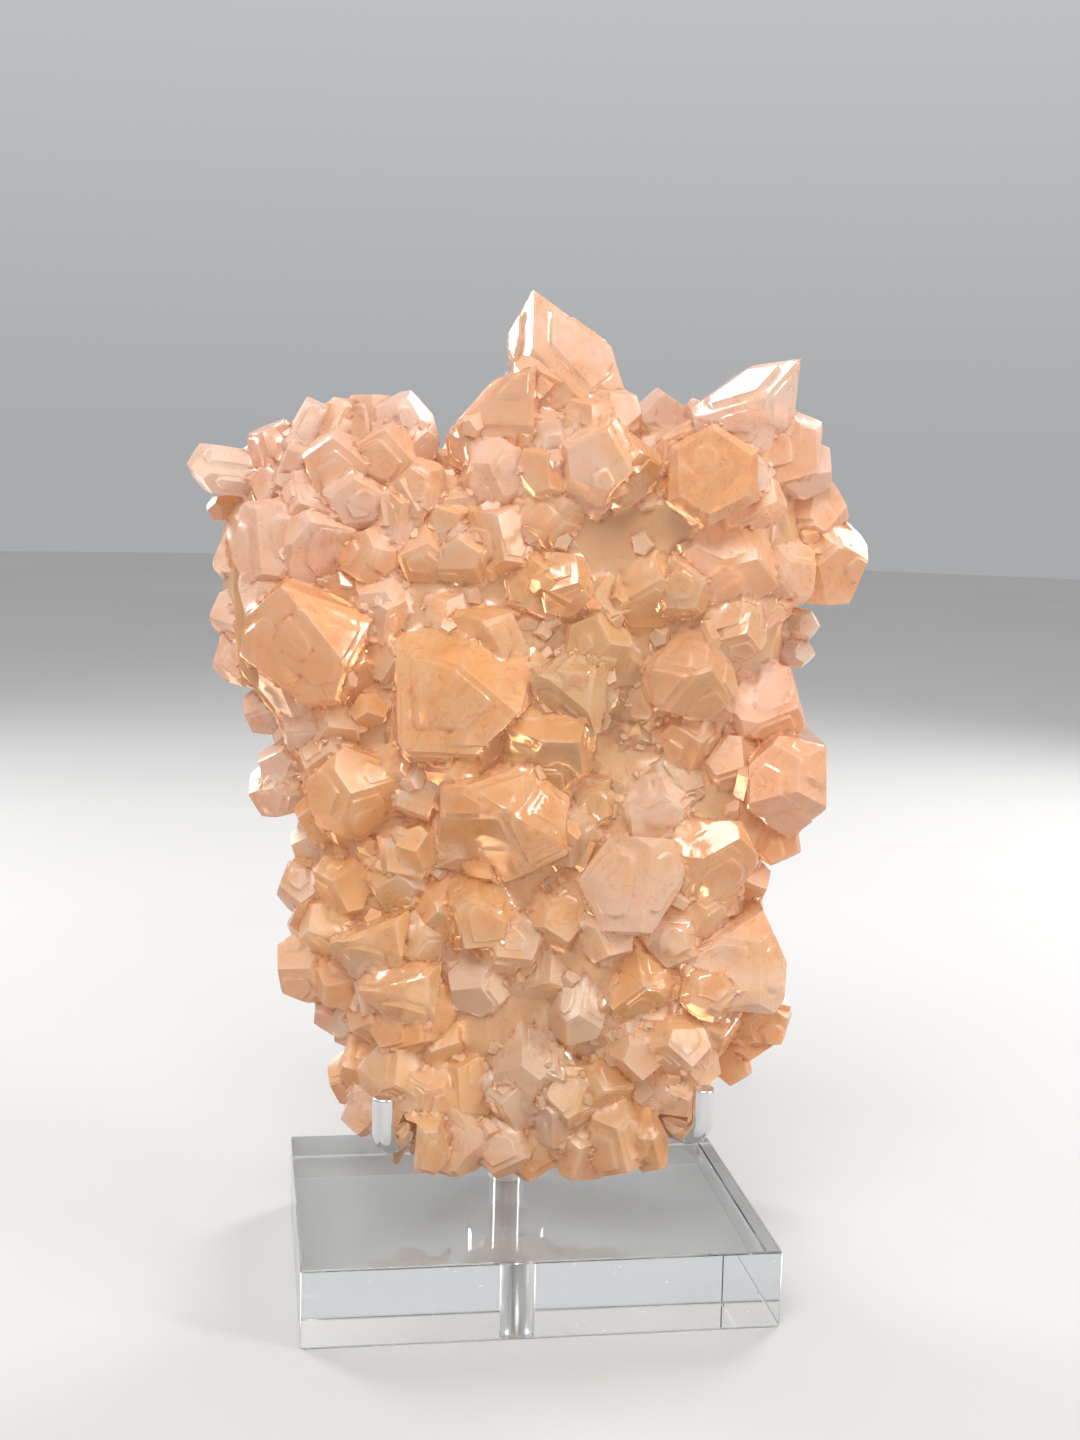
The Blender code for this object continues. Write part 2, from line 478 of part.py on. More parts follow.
def make_collar(material):
    half = COLLAR_HEIGHT / 2
    profile = (
        (COLLAR_RADIUS - COLLAR_CHAMFER, ARM_HEIGHT - half),
        (COLLAR_RADIUS, ARM_HEIGHT - half + COLLAR_CHAMFER),
        (COLLAR_RADIUS, ARM_HEIGHT + half - COLLAR_CHAMFER),
        (COLLAR_RADIUS - COLLAR_CHAMFER, ARM_HEIGHT + half),
    )
    mesh = turned_mesh("collar", profile, (0, POST_Y))
    shade_round(mesh)
    collar = add_object("collar", mesh, material)
    bore_radius = POST_RADIUS + GAP
    past = half + CUT_PAST
    bore = ((bore_radius, ARM_HEIGHT - past), (bore_radius, ARM_HEIGHT + past))
    drill = add_object("collar_drill", turned_mesh("collar_drill", bore, (0, POST_Y)), helper=True)
    boolean(collar, "DIFFERENCE", drill)
    centre = Vector((0, POST_Y, ARM_HEIGHT))
    for side, label in ((-1, "left"), (1, "right")):
        direction = arm_direction(side)
        start = centre + direction * (COLLAR_RADIUS - ARM_SOCKET)
        end = centre + direction * (COLLAR_RADIUS + CUT_PAST)
        drill = rod_mesh("socket_" + label, start, end, ARM_RADIUS + GAP)
        boolean(collar, "DIFFERENCE", add_object("socket_" + label, drill, helper=True))
    return collar


def arm_path(side):
    """Points along a rod's middle, from the collar to the top of its hook, each with a size."""
    direction = arm_direction(side)
    centre = Vector((0, POST_Y, ARM_HEIGHT))
    reach = math.hypot(HOOK_X, HOOK_Y - POST_Y)
    first = centre + direction * (COLLAR_RADIUS - ARM_SOCKET + GAP)
    path = [(first, 1.0)]
    bend_centre = centre + direction * (reach - HOOK_BEND) + Vector((0, 0, HOOK_BEND))
    for step in range(HOOK_BEND_STEPS + 1):
        angle = math.pi / 2 * step / HOOK_BEND_STEPS
        out = direction * (HOOK_BEND * math.sin(angle))
        down = Vector((0, 0, -HOOK_BEND * math.cos(angle)))
        path.append((bend_centre + out + down, 1.0))
    top = centre + direction * reach
    path.append((Vector((top.x, top.y, HOOK_TOP - ARM_TIP_CHAMFER)), 1.0))
    path.append((Vector((top.x, top.y, HOOK_TOP)), 1.0 - ARM_TIP_CHAMFER / ARM_RADIUS))
    return path


def make_arm(name, side, material):
    curve = bpy.data.curves.new(name, "CURVE")
    curve.dimensions = "3D"
    curve.bevel_depth = ARM_RADIUS * MM
    curve.bevel_resolution = 3
    curve.use_fill_caps = True
    path = arm_path(side)
    spline = curve.splines.new("POLY")
    spline.points.add(len(path) - 1)
    for point, (place, size) in zip(spline.points, path):
        point.co = (*(place * MM), 1.0)
        point.radius = size
    spline.use_smooth = True
    return add_object(name, curve, material)


def cluster_axes():
    """The cluster's u, v and w directions, and its own origin, in the world."""
    right = Vector((math.cos(CLUSTER_TURN), math.sin(CLUSTER_TURN), 0))
    up = Vector((0, 0, 1))
    return right, up, right.cross(up), Vector((0, CLUSTER_Y, 0))


def to_world(u, v, w):
    right, up, front, origin = cluster_axes()
    return origin + right * u + up * v + front * w


def recess(u, v):
    """How far the middle of the front sinks in at a place."""
    distance = math.hypot(u - RECESS_MIDDLE[0], v - RECESS_MIDDLE[1])
    return RECESS_DEPTH * math.exp(-((distance / RECESS_WIDTH) ** 2))


def matrix_front(u, v):
    """Height of the grown base's front at a place, without its lumps."""
    nearest = min(math.hypot(u - a, v - b) for a, b in MATRIX_OUTLINE)
    return FRONT_HEIGHT - FRONT_FALL * math.exp(-nearest / FRONT_REACH) - recess(u, v)


def make_matrix_body():
    """The rough plate of grown quartz under the crystals, as rings about its middle."""
    middle_u, middle_v = MATRIX_MIDDLE

    def ring(bm, share, w, front):
        verts = []
        for a, b in MATRIX_OUTLINE:
            u = middle_u + (a - middle_u) * (1 - share)
            v = middle_v + (b - middle_v) * (1 - share)
            depth = w - recess(u, v) if front else w
            lump = LUMP_HEIGHT * noise.noise(Vector((u, v, w)) / LUMP_SIZE)
            verts.append(bm.verts.new(to_world(u, v, depth + lump)))
        return verts

    def build(bm):
        rings = [ring(bm, share, w, False) for share, w in reversed(MATRIX_BACK[:-1])]
        rings.append(ring(bm, 0.0, MATRIX_EDGE_W, False))
        rings += [ring(bm, share, w, True) for share, w in MATRIX_FRONT[:-1]]
        count = len(MATRIX_OUTLINE)
        for lower, upper in itertools.pairwise(rings):
            for step in range(count):
                after = (step + 1) % count
                bm.faces.new((lower[step], lower[after], upper[after], upper[step]))
        back_w = MATRIX_BACK[-1][1]
        front_w = MATRIX_FRONT[-1][1] - recess(middle_u, middle_v)
        for edge, w in ((rings[0], back_w), (rings[-1], front_w)):
            tip = bm.verts.new(to_world(middle_u, middle_v, w))
            for step in range(count):
                bm.faces.new((edge[step], edge[(step + 1) % count], tip))

    return mesh_from("crystal_cluster", build)


def corners_of(normals, distances):
    """Corners of the convex solid inside the planes normal . x = distance."""
    found = []
    for trio in itertools.combinations(range(len(normals)), 3):
        rows = normals[list(trio)]
        if abs(np.linalg.det(rows)) < 1e-3:
            continue
        corner = np.linalg.solve(rows, distances[list(trio)])
        if (normals @ corner <= distances + 1e-6).all():
            found.append(corner)
    return found


def crystal_corners(tip, axis, line, radius, length, rng):
    """Corners of a stubby six-sided crystal with three broad facets and up to three lesser ones.

    The facets don't quite meet in one point, so each head has a short edge or a small flat.
    """
    side = axis.orthogonal().normalized()
    other = axis.cross(side)
    spin = rng.uniform(0, math.tau)
    normals = [-axis]
    distances = [-axis.dot(tip) + length]
    for step in range(6):
        angle = spin + math.tau * step / 6
        outward = side * math.cos(angle) + other * math.sin(angle)
        normals.append(outward)
        distances.append(outward.dot(line) + radius * rng.uniform(*SIDE_SPREAD))
        tilt = FACET_TILT + rng.uniform(-TILT_SPREAD, TILT_SPREAD)
        rise = rng.uniform(*(LESSER_RISE if step % 2 else BROAD_RISE))
        if step % 2 and radius < DETAILED_RADIUS:
            continue
        facet = outward * math.sin(tilt) + axis * math.cos(tilt)
        normals.append(facet)
        distances.append(facet.dot(tip) + radius * rise)
    return corners_of(np.array(normals, float), np.array(distances, float))


def shaped_corners(name, tip, length):
    """Corners of a crystal whose facets are placed one by one; its body runs straight back."""
    right, up, front, _ = cluster_axes()
    normals = [-front]
    distances = [length - front.dot(tip)]
    for way_u, way_v, way_w, rise in SHAPED[name]:
        facet = (right * way_u + up * way_v + front * way_w).normalized()
        normals.append(facet)
        distances.append(facet.dot(tip) + rise)
    return corners_of(np.array(normals, float), np.array(distances, float))


def crystal_mesh(name, tip, lean, radius, length, offset, rng):
    """A six-sided quartz point; offset moves its body off the line of its tip."""
    right, up, front, _ = cluster_axes()
    axis = (right * lean[0] + up * lean[1] + front * lean[2]).normalized()
    shift = (right * offset[0] + up * offset[1]) * radius
    line = tip + shift - axis * shift.dot(axis)
    if name in SHAPED:
        corners = shaped_corners(name, tip, length)
    else:
        corners = crystal_corners(tip, axis, line, radius, length, rng)

    def build(bm):
        for corner in corners:
            bm.verts.new(corner)
        bmesh.ops.remove_doubles(bm, verts=bm.verts, dist=0.25)
        hull = bmesh.ops.convex_hull(bm, input=bm.verts)
        spare = [e for e in hull["geom_interior"] if isinstance(e, bmesh.types.BMVert)]
        bmesh.ops.delete(bm, geom=spare, context="VERTS")
        bmesh.ops.dissolve_limit(
            bm, angle_limit=math.radians(1.0), verts=bm.verts, edges=bm.edges
        )

    return mesh_from(name, build)


def inside_outline(u, v):
    """Whether a place is inside the grown base's outline."""
    inside = False
    for (a, b), (c, d) in zip(MATRIX_OUTLINE, MATRIX_OUTLINE[1:] + MATRIX_OUTLINE[:1]):
        if (b > v) != (d > v) and u < (c - a) * (v - b) / (d - b) + a:
            inside = not inside
    return inside


def grid_places(step, rng):
    """Jittered places on a staggered grid inside the outline."""
    us = [a for a, _ in MATRIX_OUTLINE]
    vs = [b for _, b in MATRIX_OUTLINE]
    row = 0
    v = min(vs)
    while v < max(vs):
        u = min(us) + (step / 2 if row % 2 else 0)
        while u < max(us):
            shift_u = rng.uniform(-PLACE_SCATTER, PLACE_SCATTER) * step
            shift_v = rng.uniform(-PLACE_SCATTER, PLACE_SCATTER) * step
            place = (u + shift_u, v + shift_v)
            if inside_outline(*place):
                yield place
            u += step
        v += step * ROW_SHARE
        row += 1


def covered(u, v, margin):
    """Whether a main crystal's body already stands at a place."""
    for _, a, b, _, _, _, radius, _, off_u, off_v in CRYSTALS:
        middle = (a + off_u * radius, b + off_v * radius)
        if math.hypot(u - middle[0], v - middle[1]) < radius * margin:
            return True
    return False


def outward_lean(u, v, amount, rng):
    """A lean away from the middle, with some scatter."""
    away = Vector((u - MATRIX_MIDDLE[0], v - MATRIX_MIDDLE[1])) * amount / HALF_HEIGHT
    return away.x + rng.gauss(0, LEAN_SCATTER), away.y + rng.gauss(0, LEAN_SCATTER)


def make_crystals():
    """Every crystal as its own closed mesh: the listed ones, then the small ones."""
    rng = random.Random(SEED)
    for name, u, v, w, lean_u, lean_v, radius, length, off_u, off_v in CRYSTALS:
        lean = (lean_u, lean_v, 1.0)
        yield crystal_mesh(name, to_world(u, v, w), lean, radius, length, (off_u, off_v), rng)
    for u, v in grid_places(FILLER_STEP, rng):
        if covered(u, v, FILLER_MARGIN):
            continue
        tip = to_world(u, v, matrix_front(u, v) + rng.uniform(*FILLER_RISE))
        lean = (*outward_lean(u, v, FILLER_SPREAD, rng), 1.0)
        radius = rng.uniform(*FILLER_RADIUS)
        yield crystal_mesh("small", tip, lean, radius, FILLER_LENGTH, (0, 0), rng)
    for u, v in grid_places(BACK_STEP, rng):
        tip = to_world(u, v, BACK_W - rng.uniform(*BACK_RISE))
        lean = (*outward_lean(u, v, BACK_SPREAD, rng), -1.0)
        radius = rng.uniform(*BACK_RADIUS)
        yield crystal_mesh("back", tip, lean, radius, BACK_LENGTH, (0, 0), rng)
    for step in range(RIM_STEPS):
        place = step / RIM_STEPS * len(MATRIX_OUTLINE)
        first = MATRIX_OUTLINE[int(place)]
        after = MATRIX_OUTLINE[(int(place) + 1) % len(MATRIX_OUTLINE)]
        share = place % 1
        u = first[0] + (after[0] - first[0]) * share
        v = first[1] + (after[1] - first[1]) * share
        lean_u, lean_v = outward_lean(u, v, RIM_SPREAD, rng)
        reach = rng.uniform(*RIM_REACH) / HALF_HEIGHT
        u += (u - MATRIX_MIDDLE[0]) * reach
        v += (v - MATRIX_MIDDLE[1]) * reach
        tip = to_world(u, v, rng.uniform(*RIM_W))
        lean = (lean_u, lean_v, rng.uniform(*RIM_LEAN_W))
        radius = rng.uniform(*RIM_RADIUS)
        yield crystal_mesh("rim", tip, lean, radius, RIM_LENGTH, (0, 0), rng)


def stand_clearances():
    """Boxes and bars that keep the cluster clear of the stand and free to lift out."""
    centre = Vector((0, POST_Y, ARM_HEIGHT))
    half = ARM_RADIUS + GAP
    reach = math.hypot(HOOK_X, HOOK_Y - POST_Y)
    hook_rise = HOOK_TOP - ARM_HEIGHT + GAP
    for side, label in ((-1, "left"), (1, "right")):
        direction = arm_direction(side)
        turn = direction.to_track_quat("X", "Z").to_matrix().to_4x4()
        for part, low, high in (
            ("under", (0, -half, -CUT_CLEAR), (reach + CUT_CLEAR, half, half)),
            ("front", (reach - half, -half, -CUT_CLEAR), (reach + CUT_CLEAR, half, hook_rise)),
        ):
            name = "slot_" + part + "_" + label
            mesh = box_mesh(name, low, high)
            mesh.transform(turn)
            for vert in mesh.vertices:
                vert.co += centre * MM
            yield add_object(name, mesh, helper=True)
    top = ARM_HEIGHT + COLLAR_HEIGHT / 2 + GAP
    wide = COLLAR_RADIUS + GAP
    behind = POST_Y + CUT_CLEAR
    low = (-wide, POST_Y - wide, 0)
    high = (wide, behind, top)
    yield add_object("slot_collar", box_mesh("slot_collar", low, high), helper=True)
    slim = POST_RADIUS + GAP
    low = (-slim, POST_Y - slim, 0)
    high = (slim, behind, POST_TOP + GAP)
    yield add_object("slot_post", box_mesh("slot_post", low, high), helper=True)


def make_cluster(material):
    cluster = add_object("crystal_cluster", make_matrix_body(), material)
    operands = bpy.data.collections.new("grown_crystals")
    bpy.context.scene.collection.children.link(operands)
    for mesh in make_crystals():
        crystal = bpy.data.objects.new("crystal_" + mesh.name, mesh)
        crystal.hide_render = True
        crystal.display_type = "WIRE"
        operands.objects.link(crystal)
    # The exact solver returns nothing for so many crossing crystals, so the cluster uses this one
    boolean(cluster, "UNION", collection=operands, solver="MANIFOLD")
    for cutter in stand_clearances():
        boolean(cluster, "DIFFERENCE", cutter, solver="MANIFOLD")
    return cluster


def main():
    clear_scene()
    acrylic = finish_material("clear_acrylic", (0.95, 0.97, 0.98), 0.03, transmission=1.0)
    steel = finish_material("polished_steel", (0.75, 0.75, 0.77), 0.12, metallic=1.0)
    quartz = finish_material("peach_quartz", (0.85, 0.52, 0.36), 0.25, transmission=0.3)
    make_base_block(acrylic)
    make_post(steel)
    make_collar(steel)
    make_arm("arm_left", -1, steel)
    make_arm("arm_right", 1, steel)
    make_cluster(quartz)


main()
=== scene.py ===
"""The looks of a quartz crystal cluster on its display stand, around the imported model."""

import itertools
import math
import random

import bmesh
import bpy
import numpy as np
from mathutils import Matrix, Vector, noise


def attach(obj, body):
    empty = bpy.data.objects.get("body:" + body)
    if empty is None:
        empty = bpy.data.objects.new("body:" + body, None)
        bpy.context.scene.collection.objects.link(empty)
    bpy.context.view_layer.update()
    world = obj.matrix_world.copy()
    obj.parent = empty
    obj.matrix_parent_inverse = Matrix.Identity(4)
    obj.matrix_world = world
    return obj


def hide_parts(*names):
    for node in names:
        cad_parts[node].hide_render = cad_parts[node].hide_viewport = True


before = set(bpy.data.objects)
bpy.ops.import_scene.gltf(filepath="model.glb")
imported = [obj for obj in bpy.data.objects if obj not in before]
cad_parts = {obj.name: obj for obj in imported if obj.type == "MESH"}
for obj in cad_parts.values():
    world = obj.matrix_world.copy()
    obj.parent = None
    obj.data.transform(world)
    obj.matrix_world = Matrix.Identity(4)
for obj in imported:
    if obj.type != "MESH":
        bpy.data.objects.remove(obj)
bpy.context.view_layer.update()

MM = 0.001

# Camera, fitted to the block's corners in the photograph
FOCAL_PIXELS = 1900.0
IMAGE_WIDE = 1080
IMAGE_HIGH = 1440
CAMERA_PLACE = Vector((-74.6, -481.1, 220.0)) * MM
CAMERA_YAW = math.radians(-9.04)
CAMERA_PITCH = math.radians(8.43)
CAMERA_ROLL = math.radians(1.52)
SENSOR = 36.0

# Stand, in millimetres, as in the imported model
BASE_WIDTH = 120.0
BASE_DEPTH = 90.0
BASE_HEIGHT = 20.0
POST_RADIUS = 4.0
POST_FOOT_RADIUS = 4.5
POST_TOP = 98.0
POST_Y = 0.3 * BASE_DEPTH
COLLAR_RADIUS = 11.0
COLLAR_HEIGHT = 14.0
ARM_RADIUS = 2.75
ARM_HEIGHT = BASE_HEIGHT + 27.0
ARM_SOCKET = 6.0
GAP = 0.3
HOOK_X = BASE_WIDTH / 3
HOOK_Y = -0.41 * BASE_DEPTH
HOOK_TOP = ARM_HEIGHT + 13.5
HOOK_BEND = 6.0
CUT_CLEAR = 40.0
ROUND_SIDES = 96
ROD_SIDES = 40

# Cluster frame: u to the right, v up and w to the viewer, turned a little about the vertical
CLUSTER_TURN = math.radians(-9.0)
CLUSTER_Y = -8.0
SEED = 41

# Angle between a head facet's normal and the crystal's long axis, and how much it varies
FACET_TILT = math.radians(43.0)
TILT_SPREAD = math.radians(8.0)

# How far the facets stand off the tip, and the sides off the middle line, in radii
BROAD_RISE = (0.0, 0.12)
LESSER_RISE = (0.12, 0.45)
SIDE_SPREAD = (0.84, 1.06)

# Crystals from this radius up have the three lesser facets too
DETAILED_RADIUS = 10.0

# The grown base that all crystals stand on: its outline, its middle and its ring steps
MATRIX_MIDDLE = (-4.0, 145.0)
MATRIX_OUTLINE = (
    (-4, 238), (10, 236), (22, 229), (42, 228), (56, 229), (64, 212), (69, 194),
    (64, 176), (61, 158), (61, 140), (62, 122), (56, 104), (59, 88), (59, 72),
    (51, 57), (40, 46), (28, 41), (14, 36), (0, 33), (-14, 36), (-28, 40), (-42, 41),
    (-47, 56), (-53, 72), (-60, 86), (-58, 104), (-58, 120), (-65, 136), (-70, 150),
    (-80, 162), (-82, 186), (-81, 202), (-67, 216), (-46, 222), (-30, 218),
    (-22, 215), (-12, 229),
)
MATRIX_FRONT = ((0.07, 7.0), (0.28, 14.0), (0.66, 16.0), (1.0, 17.0))
MATRIX_BACK = ((0.16, -17.0), (0.55, -21.0), (1.0, -22.0))
MATRIX_EDGE_W = -7.0
FRONT_HEIGHT = 17.0
FRONT_FALL = 10.0
FRONT_REACH = 11.0
RECESS_MIDDLE = (26.0, 150.0)
RECESS_WIDTH = 30.0
RECESS_DEPTH = 10.0
LUMP_HEIGHT = 3.2
LUMP_SIZE = 17.0

# One row for each main crystal: name, tip u, v and w, lean to the right and up for each unit
# towards the viewer, radius, length, the body's offset from its tip in radii, then how deep
# its colour is, from 0, nearly white, to 5, orange
CRYSTALS = (
    ("tall_top_point", -3.6, 255.5, 8, 0, 0, 12.5, 62, 0.55, -0.75, 2),
    ("orange_dome", -3.6, 236.6, 16, 0, 0, 9, 40, -0.9, -0.9, 5),
    ("dome_foot", -20, 222, 12, -0.66, 0.55, 7.9, 26, 0.2, -0.3, 1),
    ("rim_one", 29, 232, 4, 0.06, 1.1, 7.3, 28, 0, -0.3, 1),
    ("rim_two", 38, 229, 2, 0.17, 1.1, 7.3, 28, 0, -0.3, 0),
    ("top_right_point", 60.1, 240.2, 17, 0, 0, 9, 48, -0.85, -0.45, 1),
    ("right_pale_one", 66, 224, 12, 0.8, 0.5, 9.2, 34, -0.5, -0.2, 2),
    ("right_pale_two", 70, 214, 8, 0.72, 0, 7.3, 30, -0.4, 0.1, 1),
    ("right_pink_one", 76, 205, 2, 1.32, 0.17, 6.7, 30, -0.3, -0.1, 3),
    ("right_pink_two", 76, 198, -4, 1.43, -0.17, 4.9, 26, -0.2, 0, 3),
    ("right_brown_point", 81, 192, 2, 1.65, -0.06, 10.4, 40, -0.1, -0.1, 4),
    ("right_sliver_one", 70, 175, 0, 1.38, 0, 3.8, 18, 0, 0, 0),
    ("right_sliver_two", 70, 168, -2, 1.38, 0.11, 3.8, 18, 0, 0, 0),
    ("right_mid_one", 65, 156, 8, 0.66, 0.06, 10.4, 34, -0.4, 0, 3),
    ("right_mid_two", 65, 144, 0, 1.1, 0, 6.7, 28, -0.3, 0, 2),
    ("right_big", 64.8, 142.2, 18, 0, 0, 11.5, 44, -0.2, -0.7, 4),
    ("right_under_one", 67, 118, 4, 0.88, -0.39, 6.7, 28, -0.3, 0.2, 3),
    ("right_under_two", 60, 107, 2, 0.99, -0.22, 5.5, 26, -0.3, 0.1, 2),
    ("right_under_three", 57, 98, 0, 1.1, -0.11, 4.3, 22, -0.2, 0, 2),
    ("low_right_hex", 57.2, 97.8, 20, 0, 0, 12, 46, -0.5, -0.7, 3),
    ("low_right_spike_one", 66, 74, 6, 1.04, 0.28, 6.1, 28, -0.3, -0.2, 4),
    ("low_right_spike_two", 63, 66, 4, 0.94, -0.11, 5.5, 26, -0.3, 0, 4),
    ("low_right_spike_three", 57, 57, 2, 0.77, -0.39, 5.5, 26, -0.2, 0.2, 3),
    ("low_right_glint_one", 32, 56, 15, 0.1, 0.1, 4.9, 22, 0, 0, 0),
    ("low_right_glint_two", 39, 58, 12, 0.3, 0.1, 3.7, 20, 0, 0, 1),
    ("low_right_stub", 34, 38, 19, 0.22, -0.66, 6.7, 28, -0.2, 0.3, 3),
    ("foot_one", 25, 37, 20, 0.28, -0.55, 9.2, 30, 0, 0.3, 2),
    ("foot_two", 13, 33, 16, -0.11, -0.83, 7.9, 32, 0.2, 0.3, 2),
    ("foot_three", 2, 31, 12, 0.11, -0.94, 11, 34, -0.1, 0.3, 3),
    ("foot_four", -9, 35, 17, -0.22, -0.66, 7.3, 32, 0.2, 0.3, 2),
    ("foot_five", -19, 36, 20, 0.06, -0.55, 10.4, 32, -0.2, 0.4, 3),
    ("foot_six", -28, 39, 26, -0.17, -0.5, 7.3, 30, 0.1, 0.3, 2),
    ("left_foot", -43, 43, 14, -0.28, -0.77, 7.3, 28, 0.2, 0.3, 1),
    ("left_hex", -47, 61, 12, -0.8, 0.2, 9.2, 34, 0.45, 0.1, 3),
    ("left_low_one", -51, 53, 6, -0.99, -0.11, 6.7, 28, 0.2, 0, 3),
    ("left_low_two", -55, 72, 4, -1.04, 0.17, 6.8, 26, 0.3, 0, 1),
    ("left_pale_low", -65, 84, 6, -1.21, 0, 8.4, 32, 0.3, 0, 1),
    ("left_pale_mid", -65, 105, 4, -1.32, 0.17, 6.8, 30, 0.3, -0.1, 1),
    ("left_pale_high", -62, 115, 2, -1.38, 0.11, 5.4, 24, 0.2, 0, 0),
    ("left_tooth_one", -73, 128, 2, -1.43, -0.28, 6.8, 30, 0.3, 0.1, 1),
    ("left_tooth_two", -70, 137, 4, -1.21, 0.28, 5.4, 24, 0.3, 0, 0),
    ("left_rim_one", -74, 149, 4, -0.99, -0.17, 6.8, 28, 0.3, 0, 1),
    ("left_rim_two", -82, 162, 2, -1.32, 0, 6.8, 30, 0.4, 0, 1),
    ("left_rim_three", -83, 174, 2, -1.43, 0.06, 6.1, 28, 0.3, 0, 2),
    ("left_rim_four", -82, 188, 2, -1.32, 0.06, 6.1, 26, 0.3, 0, 1),
    ("left_dot", -84, 200, 0, -1.43, -0.33, 3, 20, 0.1, 0, 3),
    ("left_knob", -88, 211, 6, -2.4, 0.3, 6.5, 40, 0.15, -0.05, 1),
    ("left_top_long", -59, 227, 6, -0.39, 1.21, 7.3, 40, -0.2, -0.3, 0),
    ("left_top_one", -49, 228, 8, -0.06, 1.1, 7.3, 34, 0, -0.4, 2),
    ("left_top_two", -42, 229, 10, 0.06, 0.99, 7.3, 32, 0, -0.4, 1),
    ("left_top_three", -34, 229, 12, 0.17, 0.94, 7.9, 34, 0.1, -0.5, 0),
    ("left_top_four", -29, 221, 14, 0.66, 0.44, 6.7, 28, -0.3, -0.1, 2),
    ("left_top_front_one", -51, 218, 20, -0.1, 0.7, 7.9, 32, 0.1, -0.4, 2),
    ("left_top_front_two", -38, 221, 20, 0.1, 0.7, 6.7, 30, 0, -0.4, 3),
    ("left_top_front_three", -62, 215, 14, -0.5, 0.8, 7.3, 30, 0.1, -0.3, 1),
    ("left_top_front_four", -45, 209, 22, 0.1, 0.5, 6.7, 30, 0, -0.3, 3),
    ("left_top_front_five", -27, 211, 20, 0.5, 0.4, 6.7, 30, -0.2, -0.2, 3),
    ("left_top_front_six", -72, 208, 10, -1.1, 0.6, 6.1, 28, 0.2, -0.2, 2),
    ("left_top_front_seven", -34, 203, 22, 0.2, 0.3, 6.7, 28, 0, -0.2, 3),
    ("pale_pair_left", -68, 201, 20, -0.4, 0.5, 9.8, 36, -0.1, -0.6, 1),
    ("pale_pair_right", -55, 199, 24, 0.1, 0.3, 10.4, 36, 0.35, -0.65, 1),
    ("centre_left_one", -40, 193, 22, 0.2, 0.2, 7.3, 30, 0, -0.2, 3),
    ("centre_left_two", -27, 194, 20, 0.2, 0.3, 7.3, 30, 0, -0.2, 3),
    ("centre_left_three", -21, 201, 18, 0.5, 0.3, 5.5, 26, 0, -0.2, 4),
    ("big_orange", -60.5, 182.9, 30, 0, 0, 12.5, 50, 0.3, -1.05, 5),
    ("beside_orange_one", -37, 178, 22, 0.2, 0.1, 7.3, 30, 0, -0.2, 2),
    ("beside_orange_two", -35, 166, 20, 0.2, 0, 6.7, 28, 0, 0, 2),
    ("beside_orange_three", -41, 153, 21, 0, 0, 4.3, 24, 0, 0, 4),
    ("beside_orange_four", -51, 149, 20, -0.2, -0.1, 7.3, 28, 0, 0, 2),
    ("beside_orange_five", -62, 146, 14, -0.7, -0.2, 7.3, 28, 0.2, 0, 2),
    ("top_foot_one", 11, 228, 20, 0.06, 0.55, 8.5, 34, 0, -0.5, 3),
    ("top_foot_two", 15, 222, 24, 0.2, 0.6, 9.2, 34, 0, -0.3, 3),
    ("small_oval_left", 1, 216, 20, 0, 0.5, 7.3, 30, 0, -0.1, 5),
    ("small_oval_right", 23, 217, 22, 0.3, 0.5, 7.9, 30, -0.1, -0.1, 4),
    ("high_right_one", 35, 223, 16, 0.11, 0.5, 6.7, 28, 0, -0.4, 3),
    ("round_orange", 40.2, 212.5, 26, 0, 0, 11, 42, 0, 0, 5),
    ("right_of_round", 56, 206, 16, 0.6, 0.1, 7.9, 30, -0.3, -0.1, 3),
    ("pink_shoulder_one", 52, 192, 19, 0.4, 0.1, 11.6, 36, -0.2, -0.1, 3),
    ("pink_shoulder_two", 50, 174, 18, 0.3, 0, 7.3, 28, 0, 0, 3),
    ("pink_shoulder_three", 60, 180, 10, 0.9, 0, 7.3, 28, -0.2, 0, 2),
    ("recess_high_one", 14, 205, 12, 0, 0.2, 9.2, 26, 0, -0.1, 4),
    ("recess_high_two", 27, 203, 13, 0.2, 0.2, 7.9, 26, 0, -0.1, 3),
    ("recess_high_three", -3, 198, 14, -0.1, 0.3, 9.8, 28, 0, -0.2, 4),
    ("glint_crest_one", 1, 189, 20, 0.1, 0.25, 8.5, 30, -0.1, -0.35, 4),
    ("glint_crest_two", 9, 186, 21, 0.35, 0.1, 7.3, 28, -0.2, -0.1, 4),
    ("arc_orange", 29, 188, 17, 0.2, 0.1, 11, 32, -0.1, -0.3, 4),
    ("glint_ridge", 17, 171, 20, 0.2, 0.1, 7.9, 28, -0.2, -0.2, 3),
    ("centre_point", 13.4, 163, 23, 0, 0, 8.5, 32, -0.9, -0.4, 2),
    ("right_recess_orange", 42, 166, 21, 0.3, 0.1, 11, 34, -0.1, -0.15, 4),
    ("recess_mid_one", 30, 174, 10, 0.1, 0, 8.5, 24, 0, 0, 3),
    ("recess_mid_two", 26, 146, 8, 0, 0, 9.8, 24, 0, 0, 1),
    ("recess_mid_three", 41, 146, 12, 0.2, 0, 8.5, 26, 0, 0, 4),
    ("recess_mid_four", 20, 130, 8, 0, -0.1, 10.4, 24, 0, 0, 1),
    ("recess_mid_five", 37, 133, 11, 0.1, -0.1, 9.2, 26, 0, 0, 2),
    ("recess_mid_six", 52, 140, 12, 0.3, 0, 7.3, 26, 0, 0, 3),
    ("orange_crown", -14, 176, 24, 0, 0.5, 10.4, 34, 0, -0.5, 4),
